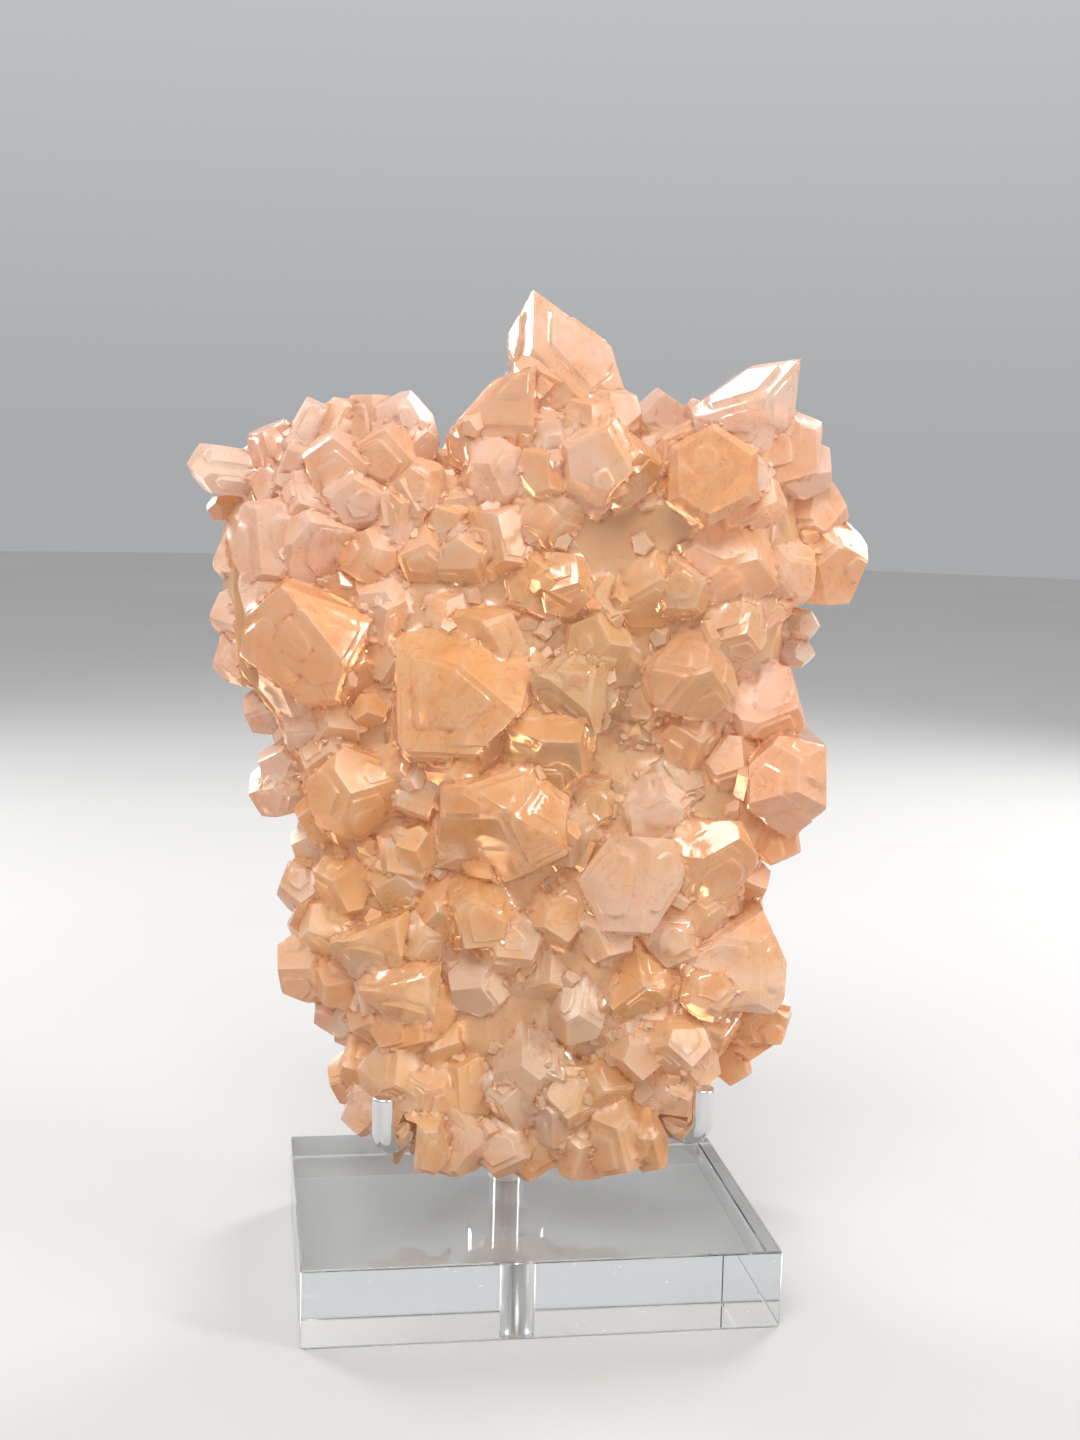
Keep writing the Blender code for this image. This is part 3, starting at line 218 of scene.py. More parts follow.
    ("large_peach", -18, 165.6, 31, 0, 0, 12, 46, -0.1, -1, 4),
    ("square_top", 1.9, 148.2, 30, 0, 0, 8.5, 36, 0, -0.75, 4),
    ("multi_facet", -7.6, 131.9, 35, 0, 0, 14.5, 48, 0, -0.55, 4),
    ("orange_red", -29, 119, 24, 0, 0, 5.5, 26, 0, 0, 5),
    ("under_multi_one", -21, 140, 27, -0.2, 0, 7.9, 30, 0, 0, 3),
    ("round_tan", -45, 134, 25, -0.15, 0.05, 11.6, 36, -0.1, -0.2, 3),
    ("left_of_tan", -59, 124, 12, -0.9, 0, 7.3, 28, 0.2, 0, 2),
    ("tan_above", -33, 139, 24, 0, 0.1, 7.3, 28, 0, 0, 3),
    ("big_tan", -33.4, 100.9, 25, 0, 0, 10.5, 40, -0.7, -0.4, 3),
    ("tan_above_left", -50, 110, 18, -0.4, 0.2, 7.9, 28, 0, -0.1, 3),
    ("yellow_fan", -24.9, 87.9, 24, 0, 0, 9.5, 36, -0.8, -0.5, 3),
    ("white_glint", -12, 84, 21, 0.05, 0.1, 7.3, 28, -0.1, 0, 1),
    ("low_mid_one", -23, 103, 21, 0, 0.1, 10.4, 32, 0, -0.1, 2),
    ("low_mid_two", -11, 105, 19, 0, 0.1, 9.2, 30, 0, 0, 2),
    ("low_mid_three", 7, 108, 18, 0.1, 0, 10, 32, 0, 0, 2),
    ("low_mid_four", 4, 86, 18, 0.1, 0, 8.5, 28, 0, 0, 3),
    ("low_mid_five", -3, 95, 17, 0, 0, 7.3, 28, 0, 0, 1),
    ("big_pale_peach", 29, 122, 28, 0.15, 0.3, 12, 44, -0.25, -0.65, 3),
    ("orange_arc", 50, 124, 21, 0.4, 0.25, 11, 34, -0.4, -0.5, 5),
    ("beside_arc", 43, 106, 18, 0.3, 0.1, 10.4, 32, 0, 0, 3),
    ("above_hex", 39, 100, 17, 0.2, 0.2, 7.9, 28, 0, 0, 3),
    ("low_right_one", 18, 80, 17, 0, 0, 9.8, 30, 0, 0, 3),
    ("low_right_two", 28, 86, 21, 0.1, 0.1, 10.4, 32, 0, -0.1, 4),
    ("low_right_three", 35, 74, 17, 0.3, -0.1, 8.5, 30, 0, 0, 3),
    ("low_right_four", 49, 70, 12, 0.5, -0.2, 8.5, 30, 0, 0, 3),
    ("low_right_five", 23, 66, 15, 0, -0.1, 7.9, 28, 0, 0, 3),
    ("grey_foot_one", -2, 70, 14, 0, 0.1, 10.4, 30, 0, 0, 0),
    ("grey_foot_two", 4, 62, 19, 0, 0.2, 9.2, 30, 0.1, -0.3, 0),
    ("grey_foot_three", -10, 58, 16, 0, 0, 9.2, 30, 0, 0, 1),
    ("rosette_one", 11, 51, 21, 0, -0.3, 10.4, 32, 0, -0.1, 4),
    ("rosette_two", 19, 58, 19, 0.2, 0.1, 9.2, 30, 0, -0.2, 4),
    ("left_low_front_one", -33, 59, 22, -0.1, -0.1, 11.6, 34, 0, -0.1, 3),
    ("left_low_front_two", -25, 68, 20, 0, 0, 8.5, 30, 0, 0, 2),
    ("left_low_front_three", -40, 74, 18, -0.3, 0, 8.5, 30, 0, 0, 2),
    ("left_low_front_four", -17, 52, 19, 0, -0.4, 9.2, 30, 0, 0, 3),
    ("left_low_front_five", -27, 50, 21, -0.1, -0.6, 7.9, 28, 0, 0, 2),
    ("left_mid_front_one", -56, 96, 14, -0.7, 0.1, 7.9, 28, 0.1, 0, 2),
    ("left_mid_front_two", -52, 82, 14, -0.6, 0, 7.9, 28, 0.1, 0, 2),
    ("left_top_slope", -70, 219, 6, -0.5, 0.6, 9, 34, 0.3, -0.5, 0),
    ("under_orange_one", -62, 158, 20, -0.3, -0.3, 9, 30, 0, 0, 3),
    ("under_orange_two", -48, 160, 21, 0, -0.3, 8, 30, 0, 0, 3),
    ("under_peach", -16, 146, 26, 0, -0.2, 9, 30, 0, 0, 2),
)

# Heads whose facets are placed one by one: each row is the way a facet faces (u, v and w) and
# how far it stands off the tip; sides come last and face straight out
SHAPED = {
    "tall_top_point": (
        (-2.0, 0.35, 1, 0), (0.45, 0.35, 1, 0), (0.52, 0.85, -0.15, 0), (-0.82, 0.57, -0.1, 0.3),
        (-0.1, -0.2, 1, 7.4), (-1, -0.08, 0.05, 6.9), (-0.92, -0.4, 0.1, 10.9),
        (0.95, 0.32, 0, 14.3), (0.7, -0.7, 0, 34), (0.3, 0.1, -1, 14),
    ),
    "top_right_point": (
        (-0.25, 0.45, 1, 0), (0.58, -0.27, 1, 0), (0, -0.3, 1, 4.6), (-0.16, 0.99, -0.1, 0.3),
        (1, -0.03, 0, 0.6), (-0.6, 0.8, 0, 5.3), (-1, -0.2, 0, 27), (0, -1, 0.3, 20),
        (0.1, 0.1, -1, 12),
    ),
    "orange_dome": (
        (-0.3, 0.2, 1, 0), (-0.75, 0.6, 1, 1.4), (-0.35, 0.94, 0.05, 0.2),
        (-0.6, 0.8, 0.05, 2.7), (-0.76, 0.65, 0.05, 4.9), (-0.95, -0.3, 0.1, 21),
        (1, 0, 0.1, 1), (-0.3, -0.6, 1, 9), (-0.2, -1, 0, 20), (-0.8, -0.6, 0, 25),
    ),
    "round_orange": (
        (0, 0.08, 1, 0), (1.1, 0, 1, 6.3), (0.55, 0.95, 1, 6.1), (-0.55, 0.95, 1, 6.5),
        (-1.1, 0, 1, 6.2), (-0.55, -0.95, 1, 6.6), (0.55, -0.95, 1, 6.2),
        (1, 0.1, 0, 10.8), (0.5, 0.87, 0, 10.4), (-0.5, 0.87, 0, 10.7), (-1, 0, 0, 10.4),
        (-0.5, -0.87, 0, 11), (0.5, -0.87, 0, 10.6),
    ),
    "big_orange": (
        (-0.15, -0.25, 1, 0), (0.6, 0.33, 1, 0), (1.08, 1.54, 1, 0), (-1.05, -0.16, 1, 3.5),
        (-0.7, 0.72, 0.1, 1.3), (-1, 0.15, 0, 9.7), (-0.6, -0.8, 0.2, 18.6), (0.1, -1, 0.3, 25),
        (0.93, -0.36, 0.2, 18.8), (0.39, 0.92, 0.1, 0.5),
    ),
    "centre_point": (
        (0.1, 0.15, 1, 0), (-0.46, -0.55, 1, 5.2), (1.3, 0, 1, 0), (0.05, 1.4, 1, 0),
        (-1, -0.3, 0.1, 15), (-0.6, 0.8, 0.1, 8), (-0.2, -1, 0.1, 19), (1, -0.1, 0.1, 3),
        (0.6, -0.8, 0, 12),
    ),
    "right_big": (
        (-0.3, 0.1, 1, 0), (0.7, 0.05, 1, 0), (0.2, 1.1, 1, 1), (0.1, -1, 1, 5),
        (1, 0.05, 0, 7.3), (0.2, 1, 0, 5.5), (-0.7, 0.7, 0, 8), (-1, 0, 0, 12),
        (-0.6, -0.8, 0, 17), (0.75, -0.66, 0, 14),
    ),
    "low_right_hex": (
        (-0.15, -0.12, 1, 0), (0.75, -0.1, 1, 0), (-0.1, 1.2, 1, 0), (0, -1.1, 1, 11),
        (0.9, 0.43, 0, 3.6), (1, 0, 0, 7.3), (0.8, -0.6, 0, 16), (-0.1, -1, 0, 20),
        (-1, -0.1, 0, 19), (-0.5, 0.87, 0, 5),
    ),
    "large_peach": (
        (0.12, -0.1, 1, 0), (-0.58, 0.3, 1, 0), (0.89, 0.82, 1, 0), (-0.4, 1.4, 1, 0.3),
        (-1, 0, 0.2, 14.4), (-0.8, -0.6, 0.2, 22.5), (0, -1, 0.4, 18.7), (1, 0.1, 0.3, 11.3),
        (0.7, -0.7, 0.1, 17),
    ),
    "square_top": (
        (0, 1.6, 1, 0), (-0.55, -0.35, 1, 0), (-0.03, -0.66, 1, 0), (-1.43, -0.82, 1, 3.9),
        (1, 0, 0.2, 8.2), (0.6, -0.8, 0.2, 11.1), (-1, -0.1, 0.1, 9.5), (0, -1, 0.2, 15),
    ),
    "multi_facet": (
        (-0.55, 0.05, 1, 0.2), (0.35, -0.45, 1, 0), (0.9, 0.35, 1, 0.6), (-0.05, 1, 1, 0.3),
        (-0.45, -0.8, 1, 1.2), (-1, 0, 0.1, 14.5), (1, 0, 0.1, 14.5), (-0.6, -0.8, 0.1, 17),
        (0.45, -0.9, 0.1, 17), (-0.3, 1, 0.1, 7), (0.7, 0.7, 0.1, 10.5),
    ),
    "big_tan": (
        (0, 0, 1, 0), (-0.44, 1.1, 1, 0), (1.2, 0.15, 1, 0), (-0.13, -0.6, 1, 3.4),
        (-1, 0.3, 0, 14), (-0.2, -1, 0, 19), (1, -0.1, 0, 2.5), (-0.4, 0.9, 0, 1.5),
        (-0.8, -0.6, 0, 18),
    ),
    "yellow_fan": (
        (0.05, 0.05, 1, 0), (-0.26, 1.15, 1, 0), (1.2, 0.05, 1, 0), (-0.1, -0.55, 1, 3.85),
        (-1, 0.2, 0, 16.5), (-0.1, -1, 0, 14), (1, -0.1, 0, 2.5), (-0.7, -0.7, 0, 16),
        (0, 1, 0, 2),
    ),
}

# Small crystals between the main ones, round the rim and on the back
FILLER_STEP = 14.0
FILLER_RADIUS = (6.5, 10.0)
FILLER_RISE = (2.0, 6.0)
FILLER_MARGIN = 0.8
FILLER_LENGTH = 20.0
FILLER_SPREAD = 0.9
BACK_STEP = 34.0
BACK_RADIUS = (8.0, 13.0)
BACK_RISE = (3.0, 7.0)
BACK_W = -21.0
BACK_LENGTH = 24.0
BACK_SPREAD = 1.2
RIM_STEPS = 20
RIM_RADIUS = (5.0, 7.5)
RIM_REACH = (0.0, 3.0)
RIM_W = (-15.0, -6.0)
RIM_LEAN_W = (-1.0, 0.3)
RIM_LENGTH = 26.0
RIM_SPREAD = 2.2

# Scatter of the small crystals: in their places, as a share of the step, and in their lean
PLACE_SCATTER = 0.3
ROW_SHARE = 0.87
LEAN_SCATTER = 0.3
HALF_HEIGHT = 90.0

# Finer growth that only the looks have, and the angle that makes a joint
YOUNG_COUNT = 380
YOUNG_RISE = (0.25, 0.95)
YOUNG_RADIUS = (1.4, 3.0)
DRUSE_COUNT = 1000
DRUSE_RADIUS = (0.7, 1.4)
BARE_COUNT = 160
BARE_TONE = (0.5, 2.5)
JOINT_ANGLE = 0.35
SAME_LOOK = 0.001

# Steps on the faces of large crystals: least area, facing, how many, size and height
STEP_AREA = 80.0
STEP_FACING = 0.3
STEP_COUNT = (1, 2)
STEP_SIZE = (0.3, 0.75)
STEP_RISE = (0.2, 1.0)

# Longest edges of the fine mesh, the depth that parts front from back, and the softening
FRONT_EDGE = 2.25
BACK_EDGE = 5.0
REFINE_W = -4.0
REFINE_PASSES = 6
FILL_PASSES = 8
FILL_DEPTH = 0.12
FILL_SHARE = 0.6
WEAR_SHARE = 0.2
SWELL_SIZE = 6.0
SWELL_HEIGHT = 0.14
HOLLOW_PASSES = 30
SHARP_ANGLE = 0.42

# How clear the quartz is, how rough and how strongly it takes up light
CLEARNESS = 0.6
ROUGH_LOW = 0.09
ROUGH_HIGH = 0.35
GLOSSY_FROM = 0.75
ABSORB = 12.0

# Quartz colours, from pale through peach to orange, and those of its veils, joints and edges; the pale edge
# colour is partly wear and partly a painted highlight
QUARTZ_TONES = (
    (0.0, (0.94, 0.77, 0.62)),
    (0.3, (0.94, 0.66, 0.44)),
    (0.62, (0.94, 0.57, 0.28)),
    (1.0, (0.93, 0.47, 0.16)),
)
QUARTZ_PINK = (0.90, 0.55, 0.43, 1)
QUARTZ_GREY = (0.54, 0.40, 0.22, 1)
QUARTZ_MILK = (0.90, 0.76, 0.62, 1)
QUARTZ_SEAM = (0.50, 0.20, 0.10, 1)
QUARTZ_RUST = (0.55, 0.20, 0.10, 1)
QUARTZ_SPECK = (0.10, 0.04, 0.02, 1)
# Pale colour of convex ridges: partly worn edges, partly a painted highlight along them
QUARTZ_EDGE_WEAR_AND_HIGHLIGHT = (0.98, 0.88, 0.76, 1)

# Light of the room at the horizon and overhead, and the floor's pale paint
WORLD_LOW = (0.40, 0.41, 0.42)
WORLD_HIGH = (0.85, 0.86, 0.88)
FLOOR_TONES = ((0.39, 0.385, 0.38, 1), (0.43, 0.425, 0.42, 1))

# The floor lies this far under the block, so that the two flat faces don't fight
FLOOR_DROP = 0.2


def link(obj):
    bpy.context.scene.collection.objects.link(obj)
    return obj


def mesh_object(name, mesh, material=None):
    obj = link(bpy.data.objects.new(name, mesh))
    if material:
        obj.data.materials.clear()
        obj.data.materials.append(material)
    return obj


class Graph:
    """Short calls for building one material's nodes."""

    def __init__(self, name):
        self.material = bpy.data.materials.new(name)
        self.material.use_nodes = True
        self.tree = self.material.node_tree
        self.shader = self.tree.nodes["Principled BSDF"]

    def node(self, kind, **settings):
        made = self.tree.nodes.new("ShaderNode" + kind)
        for key, value in settings.items():
            setattr(made, key, value)
        return made

    def wire(self, source, target):
        self.tree.links.new(source, target)

    def put(self, socket, value):
        """Sets a socket to a number, a colour or another node's output."""
        if isinstance(value, bpy.types.NodeSocket):
            self.wire(value, socket)
        else:
            socket.default_value = value

    def math(self, operation, first, second=0.0, clamp=False):
        made = self.node("Math", operation=operation, use_clamp=clamp)
        self.put(made.inputs[0], first)
        self.put(made.inputs[1], second)
        return made.outputs[0]

    def mix(self, share, first, second, blend="MIX"):
        made = self.node("Mix", data_type="RGBA", blend_type=blend)
        self.put(made.inputs["Factor"], share)
        self.put(made.inputs[6], first)
        self.put(made.inputs[7], second)
        return made.outputs[2]

    def remap(self, value, low, high, to_low=0.0, to_high=1.0):
        made = self.node("MapRange")
        self.put(made.inputs["Value"], value)
        made.inputs["From Min"].default_value = low
        made.inputs["From Max"].default_value = high
        made.inputs["To Min"].default_value = to_low
        made.inputs["To Max"].default_value = to_high
        return made.outputs[0]

    def noise(self, place, scale, detail=3.0, rough=0.5, distort=0.0):
        made = self.node("TexNoise")
        self.wire(place, made.inputs["Vector"])
        made.inputs["Scale"].default_value = scale
        made.inputs["Detail"].default_value = detail
        made.inputs["Roughness"].default_value = rough
        made.inputs["Distortion"].default_value = distort
        return made.outputs["Fac"]

    def place(self):
        return self.node("TexCoord").outputs["Object"]

    def attribute(self, name):
        return self.node("Attribute", attribute_name=name)

    def bump(self, height, strength, distance, normal=None):
        made = self.node("Bump")
        self.wire(height, made.inputs["Height"])
        made.inputs["Strength"].default_value = strength
        made.inputs["Distance"].default_value = distance
        if normal:
            self.wire(normal, made.inputs["Normal"])
        return made.outputs[0]

    def set(self, **values):
        for key, value in values.items():
            self.put(self.shader.inputs[key.replace("_", " ")], value)


def quartz_material():
    """Milky, partly see-through peach quartz, whose colour changes by crystal, depth and zone."""
    g = Graph("peach_quartz")
    place = g.place()
    look = g.node("SeparateColor")
    g.wire(g.attribute("look").outputs["Color"], look.inputs[0])
    warmth, pink, grey = look.outputs[:3]
    gloss = g.attribute("gloss").outputs["Fac"]
    spot = g.node("SeparateXYZ")
    g.wire(g.attribute("spot").outputs["Vector"], spot.inputs[0])
    aside, _, below = spot.outputs[:3]
    joint = g.attribute("joint").outputs["Fac"]
    hollow = g.attribute("hollow").outputs["Fac"]
    clouds = g.noise(place, 55.0, 4.0, 0.55, 0.6)
    veils = g.noise(place, 210.0, 5.0, 0.6, 1.4)
    core = g.remap(aside, 0.15, 0.95, 0.3, -0.22)
    for change in (
        g.remap(clouds, 0.3, 0.7, -0.26, 0.26),
        g.remap(veils, 0.3, 0.7, -0.2, 0.2),
        g.math("MULTIPLY", core, g.remap(below, 0.0, 3.0)),
    ):
        warmth = g.math("ADD", warmth, change)
    ramp = g.node("ValToRGB")
    g.wire(warmth, ramp.inputs[0])
    stops = ramp.color_ramp.elements
    stops[0].color = (*QUARTZ_TONES[0][1], 1)
    stops[1].color = (*QUARTZ_TONES[-1][1], 1)
    for position, colour in QUARTZ_TONES[1:-1]:
        stops.new(position).color = (*colour, 1)
    colour = g.mix(pink, ramp.outputs[0], QUARTZ_PINK)
    colour = g.mix(grey, colour, QUARTZ_GREY)
    milk = g.math("MULTIPLY", g.remap(hollow, 0.2, 2.2), g.remap(veils, 0.35, 0.6))
    colour = g.mix(g.math("MULTIPLY", milk, 0.3), colour, QUARTZ_MILK)
    streaks = g.noise(place, 420.0, 4.0, 0.65)
    seam = g.math("MULTIPLY", g.remap(joint, 0.12, 0.5), g.remap(streaks, 0.4, 0.6))
    colour = g.mix(g.math("MULTIPLY", seam, 0.85), colour, QUARTZ_SEAM)
    stain = g.math("MULTIPLY", g.remap(streaks, 0.6, 0.72), g.remap(below, 3.0, 10.0))
    colour = g.mix(g.math("MULTIPLY", stain, 0.55), colour, QUARTZ_RUST)
    threads = g.math("ABSOLUTE", g.math("SUBTRACT", g.noise(place, 95.0, 5.0, 0.6, 2.2), 0.5))
    wisps = g.math("MULTIPLY", g.remap(threads, 0.0, 0.016, 0.5, 0.0), g.remap(clouds, 0.4, 0.55))
    colour = g.mix(wisps, colour, QUARTZ_RUST)
    specks = g.noise(place, 900.0, 1.0, 0.5)
    dots = g.math("MULTIPLY", g.remap(specks, 0.83, 0.845), g.remap(clouds, 0.5, 0.58))
    colour = g.mix(dots, colour, QUARTZ_SPECK)
    # Pale colour on convex ridges, where the joint value is below nothing: partly worn edges, partly a
    # painted highlight
    ridge_wear_and_highlight = g.remap(joint, -0.5, -0.15, 1.0, 0.0)
    colour = g.mix(g.math("MULTIPLY", ridge_wear_and_highlight, 0.15), colour, QUARTZ_EDGE_WEAR_AND_HIGHLIGHT)
    frost = g.noise(place, 420.0, 6.0, 0.65)
    roughness = g.remap(gloss, 0.0, 1.0, ROUGH_HIGH, ROUGH_LOW)
    roughness = g.math("ADD", roughness, g.remap(frost, 0.35, 0.7, -0.03, 0.1))
    ripple = g.noise(place, 160.0, 3.0, 0.5)
    grain = g.noise(place, 1600.0, 3.0, 0.6)
    normal = g.bump(ripple, 0.25, 0.0008)
    normal = g.bump(grain, 0.2, 0.00008, normal)
    g.set(
        Base_Color=colour,
        Roughness=roughness,
        IOR=1.54,
        Transmission_Weight=CLEARNESS,
        Normal=normal,
    )
    absorb = g.node("VolumeAbsorption")
    absorb.inputs["Color"].default_value = (0.95, 0.65, 0.45, 1)
    absorb.inputs["Density"].default_value = ABSORB
    g.wire(absorb.outputs[0], g.tree.nodes["Material Output"].inputs["Volume"])
    return g.material


def steel_material():
    """Polished steel with faint drawn scratches and finger marks."""
    g = Graph("polished_steel")
    place = g.place()
    smudge = g.noise(place, 90.0, 4.0, 0.6)
    scratch = g.noise(place, 2600.0, 2.0, 0.7)
    g.set(
        Base_Color=g.mix(smudge, (0.66, 0.66, 0.68, 1), (0.8, 0.8, 0.81, 1)),
        Metallic=1.0,
        Roughness=g.remap(smudge, 0.3, 0.75, 0.1, 0.24),
        Normal=g.bump(scratch, 0.12, 0.00004),
    )
    return g.material


def acrylic_material():
    """Clear cast acrylic, a little marked on its faces and frosted round the drilled hole."""
    g = Graph("clear_acrylic")
    place = g.place()
    parts = g.node("SeparateXYZ")
    g.wire(place, parts.inputs[0])
    across = g.math("POWER", parts.outputs[0], 2.0)
    back = g.math("POWER", g.math("SUBTRACT", parts.outputs[1], POST_Y * MM), 2.0)
    radius = g.math("SQRT", g.math("ADD", across, back))
    wall = (POST_FOOT_RADIUS + GAP + 0.15) * MM
    drilled = g.math("LESS_THAN", radius, wall)
    marks = g.noise(place, 45.0, 5.0, 0.65, 0.8)
    smooth = g.remap(marks, 0.45, 0.8, 0.012, 0.06)
    roughness = g.math("MAXIMUM", smooth, g.math("MULTIPLY", drilled, 0.35))
    dust = g.remap(g.noise(place, 1500.0, 1.0, 0.5), 0.79, 0.81)
    clear = g.math("SUBTRACT", 1.0, g.math("MULTIPLY", dust, 0.7))
    clear = g.math("SUBTRACT", clear, g.math("MULTIPLY", drilled, 0.4), True)
    g.set(
        Base_Color=(0.97, 0.985, 0.98, 1),
        Roughness=roughness,
        IOR=1.49,
        Transmission_Weight=clear,
    )
    return g.material


def floor_material():
    g = Graph("pale_floor")
    place = g.place()
    soft = g.noise(place, 3.0, 2.0, 0.5)
    g.set(
        Base_Color=g.mix(soft, *FLOOR_TONES),
        Roughness=0.85,
    )
    return g.material


def make_camera():
    flat = Vector((math.cos(CAMERA_YAW), math.sin(CAMERA_YAW), 0))
    ahead = Vector((
        -math.sin(CAMERA_YAW) * math.cos(CAMERA_PITCH),
        math.cos(CAMERA_YAW) * math.cos(CAMERA_PITCH),
        -math.sin(CAMERA_PITCH),
    ))
    over = flat.cross(ahead)
    right = flat * math.cos(CAMERA_ROLL) + over * math.sin(CAMERA_ROLL)
    up = over * math.cos(CAMERA_ROLL) - flat * math.sin(CAMERA_ROLL)
    camera = link(bpy.data.objects.new("camera", bpy.data.cameras.new("camera")))
    turn = Matrix((right, up, -ahead)).transposed().to_4x4()
    turn.translation = CAMERA_PLACE
    camera.matrix_world = turn
    camera.data.sensor_width = SENSOR
    camera.data.lens = SENSOR * FOCAL_PIXELS / IMAGE_HIGH
    camera.data.clip_start = 0.01
    bpy.context.scene.camera = camera


def area_light(name, place, target, size, power, colour=(1, 1, 1)):
    light = bpy.data.lights.new(name, "AREA")
    light.shape = "RECTANGLE"
    light.size, light.size_y = size
    light.energy = power
    light.color = colour
    obj = link(bpy.data.objects.new(name, light))
    obj.location = place
    aim = Vector(target) - Vector(place)
    obj.rotation_euler = aim.to_track_quat("-Z", "Y").to_euler()


def make_lights():
    middle = (0, 0, 0.13)
    area_light("top_softbox", (-0.25, -0.75, 1.05), middle, (0.6, 0.45), 13.0, (1, 0.98, 0.95))
    area_light("right_softbox", (0.95, -0.6, 0.5), middle, (0.3, 0.45), 8.0, (1, 0.97, 0.93))
    area_light("rim_left", (-0.6, 0.6, 0.5), middle, (0.3, 0.5), 6.0)
    area_light("rim_right", (0.6, 0.6, 0.55), middle, (0.3, 0.5), 6.0)
    world = bpy.data.worlds.new("studio")
    world.use_nodes = True
    tree = world.node_tree
    height = tree.nodes.new("ShaderNodeSeparateXYZ")
    tree.links.new(tree.nodes.new("ShaderNodeTexCoord").outputs["Generated"], height.inputs[0])
    ramp = tree.nodes.new("ShaderNodeValToRGB")
    tree.links.new(height.outputs[2], ramp.inputs[0])
    low, high = ramp.color_ramp.elements
    low.color = (*WORLD_LOW, 1)
    high.position = 0.8
    high.color = (*WORLD_HIGH, 1)
    tree.links.new(ramp.outputs[0], tree.nodes["Background"].inputs[0])
    bpy.context.scene.world = world


def make_floor():
    bm = bmesh.new()
    bmesh.ops.create_circle(bm, cap_ends=True, segments=96, radius=3.0)
    mesh = bpy.data.meshes.new("floor")
    bm.to_mesh(mesh)
    bm.free()
    floor = mesh_object("floor", mesh, floor_material())
    floor.location.z = -FLOOR_DROP * MM


def metre_mesh(name, bm, smooth=True):
    bmesh.ops.scale(bm, vec=(MM, MM, MM), verts=bm.verts)
    bmesh.ops.recalc_face_normals(bm, faces=bm.faces)
    mesh = bpy.data.meshes.new(name)
    bm.to_mesh(mesh)
    bm.free()
    if smooth:
        mesh.shade_smooth()
        mesh.set_sharp_from_angle(angle=math.radians(32))
    return mesh


def turned(name, profile, centre, closed=False):
    """A round piece turned about the vertical; closed joins the profile's ends, for a ring."""
    bm = bmesh.new()
    rings = []
    for radius, z in profile:
        ring = []
        for step in range(ROUND_SIDES):
            angle = math.tau * step / ROUND_SIDES
            place = (centre[0] + radius * math.cos(angle), centre[1] + radius * math.sin(angle), z)
            ring.append(bm.verts.new(place))
        rings.append(ring)
    pairs = list(itertools.pairwise(rings))
    if closed:
        pairs.append((rings[-1], rings[0]))
    else:
        bm.faces.new(rings[0][::-1])
        bm.faces.new(rings[-1])
    for lower, upper in pairs:
        for step in range(ROUND_SIDES):
            after = (step + 1) % ROUND_SIDES
            bm.faces.new((lower[step], lower[after], upper[after], upper[step]))
    return metre_mesh(name, bm)


def arc(centre, radius, start, end, steps):
    """Points of a round corner, as (radius, z) pairs; angles in degrees."""
    for step in range(steps + 1):
        angle = math.radians(start + (end - start) * step / steps)
        yield centre[0] + radius * math.cos(angle), centre[1] + radius * math.sin(angle)


def dress(obj, node):
    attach(obj, "root")
    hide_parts(node)


def make_post(steel):
    top = POST_TOP
    profile = [(POST_FOOT_RADIUS - 0.6, GAP), (POST_FOOT_RADIUS, GAP + 0.6)]
    profile.append((POST_FOOT_RADIUS, BASE_HEIGHT + 0.6))
    profile.append((POST_RADIUS, BASE_HEIGHT + 1.4))
    profile += arc((POST_RADIUS - 2.0, top - 2.0), 2.0, 0, 90, 8)
    dress(mesh_object("steel_post", turned("steel_post", profile, (0, POST_Y)), steel), "post")


def make_collar(steel):
    half = COLLAR_HEIGHT / 2
    inner = POST_RADIUS + GAP
    profile = [(inner, ARM_HEIGHT - half + 0.4), (inner + 0.4, ARM_HEIGHT - half)]
    profile += arc((COLLAR_RADIUS - 1, ARM_HEIGHT - half + 1), 1.0, -90, 0, 5)
    profile += arc((COLLAR_RADIUS - 1, ARM_HEIGHT + half - 1), 1.0, 0, 90, 5)
    profile += [(inner + 0.4, ARM_HEIGHT + half), (inner, ARM_HEIGHT + half - 0.4)]
    collar = mesh_object("steel_collar", turned("steel_collar", profile, (0, POST_Y), True), steel)
    cutters = []
    centre = Vector((0, POST_Y, ARM_HEIGHT))
    for side in (-1, 1):
        direction = arm_direction(side)
        bm = bmesh.new()
        bmesh.ops.create_cone(
            bm, cap_ends=True, segments=48, depth=ARM_SOCKET + 5,
            radius1=ARM_RADIUS + GAP, radius2=ARM_RADIUS + GAP,
        )
        bmesh.ops.transform(bm, matrix=direction.to_track_quat("Z", "Y").to_matrix().to_4x4(), verts=bm.verts)
        middle = centre + direction * (COLLAR_RADIUS - ARM_SOCKET + (ARM_SOCKET + 5) / 2)
        bmesh.ops.translate(bm, vec=middle, verts=bm.verts)
        cutters.append(mesh_object("socket", metre_mesh("socket", bm, False)))
    apply_booleans(collar, "DIFFERENCE", cutters, "EXACT")
    collar.data.shade_smooth()
    collar.data.set_sharp_from_angle(angle=math.radians(32))
    dress(collar, "collar")


def arm_direction(side):
    return Vector((side * HOOK_X, HOOK_Y - POST_Y, 0)).normalized()


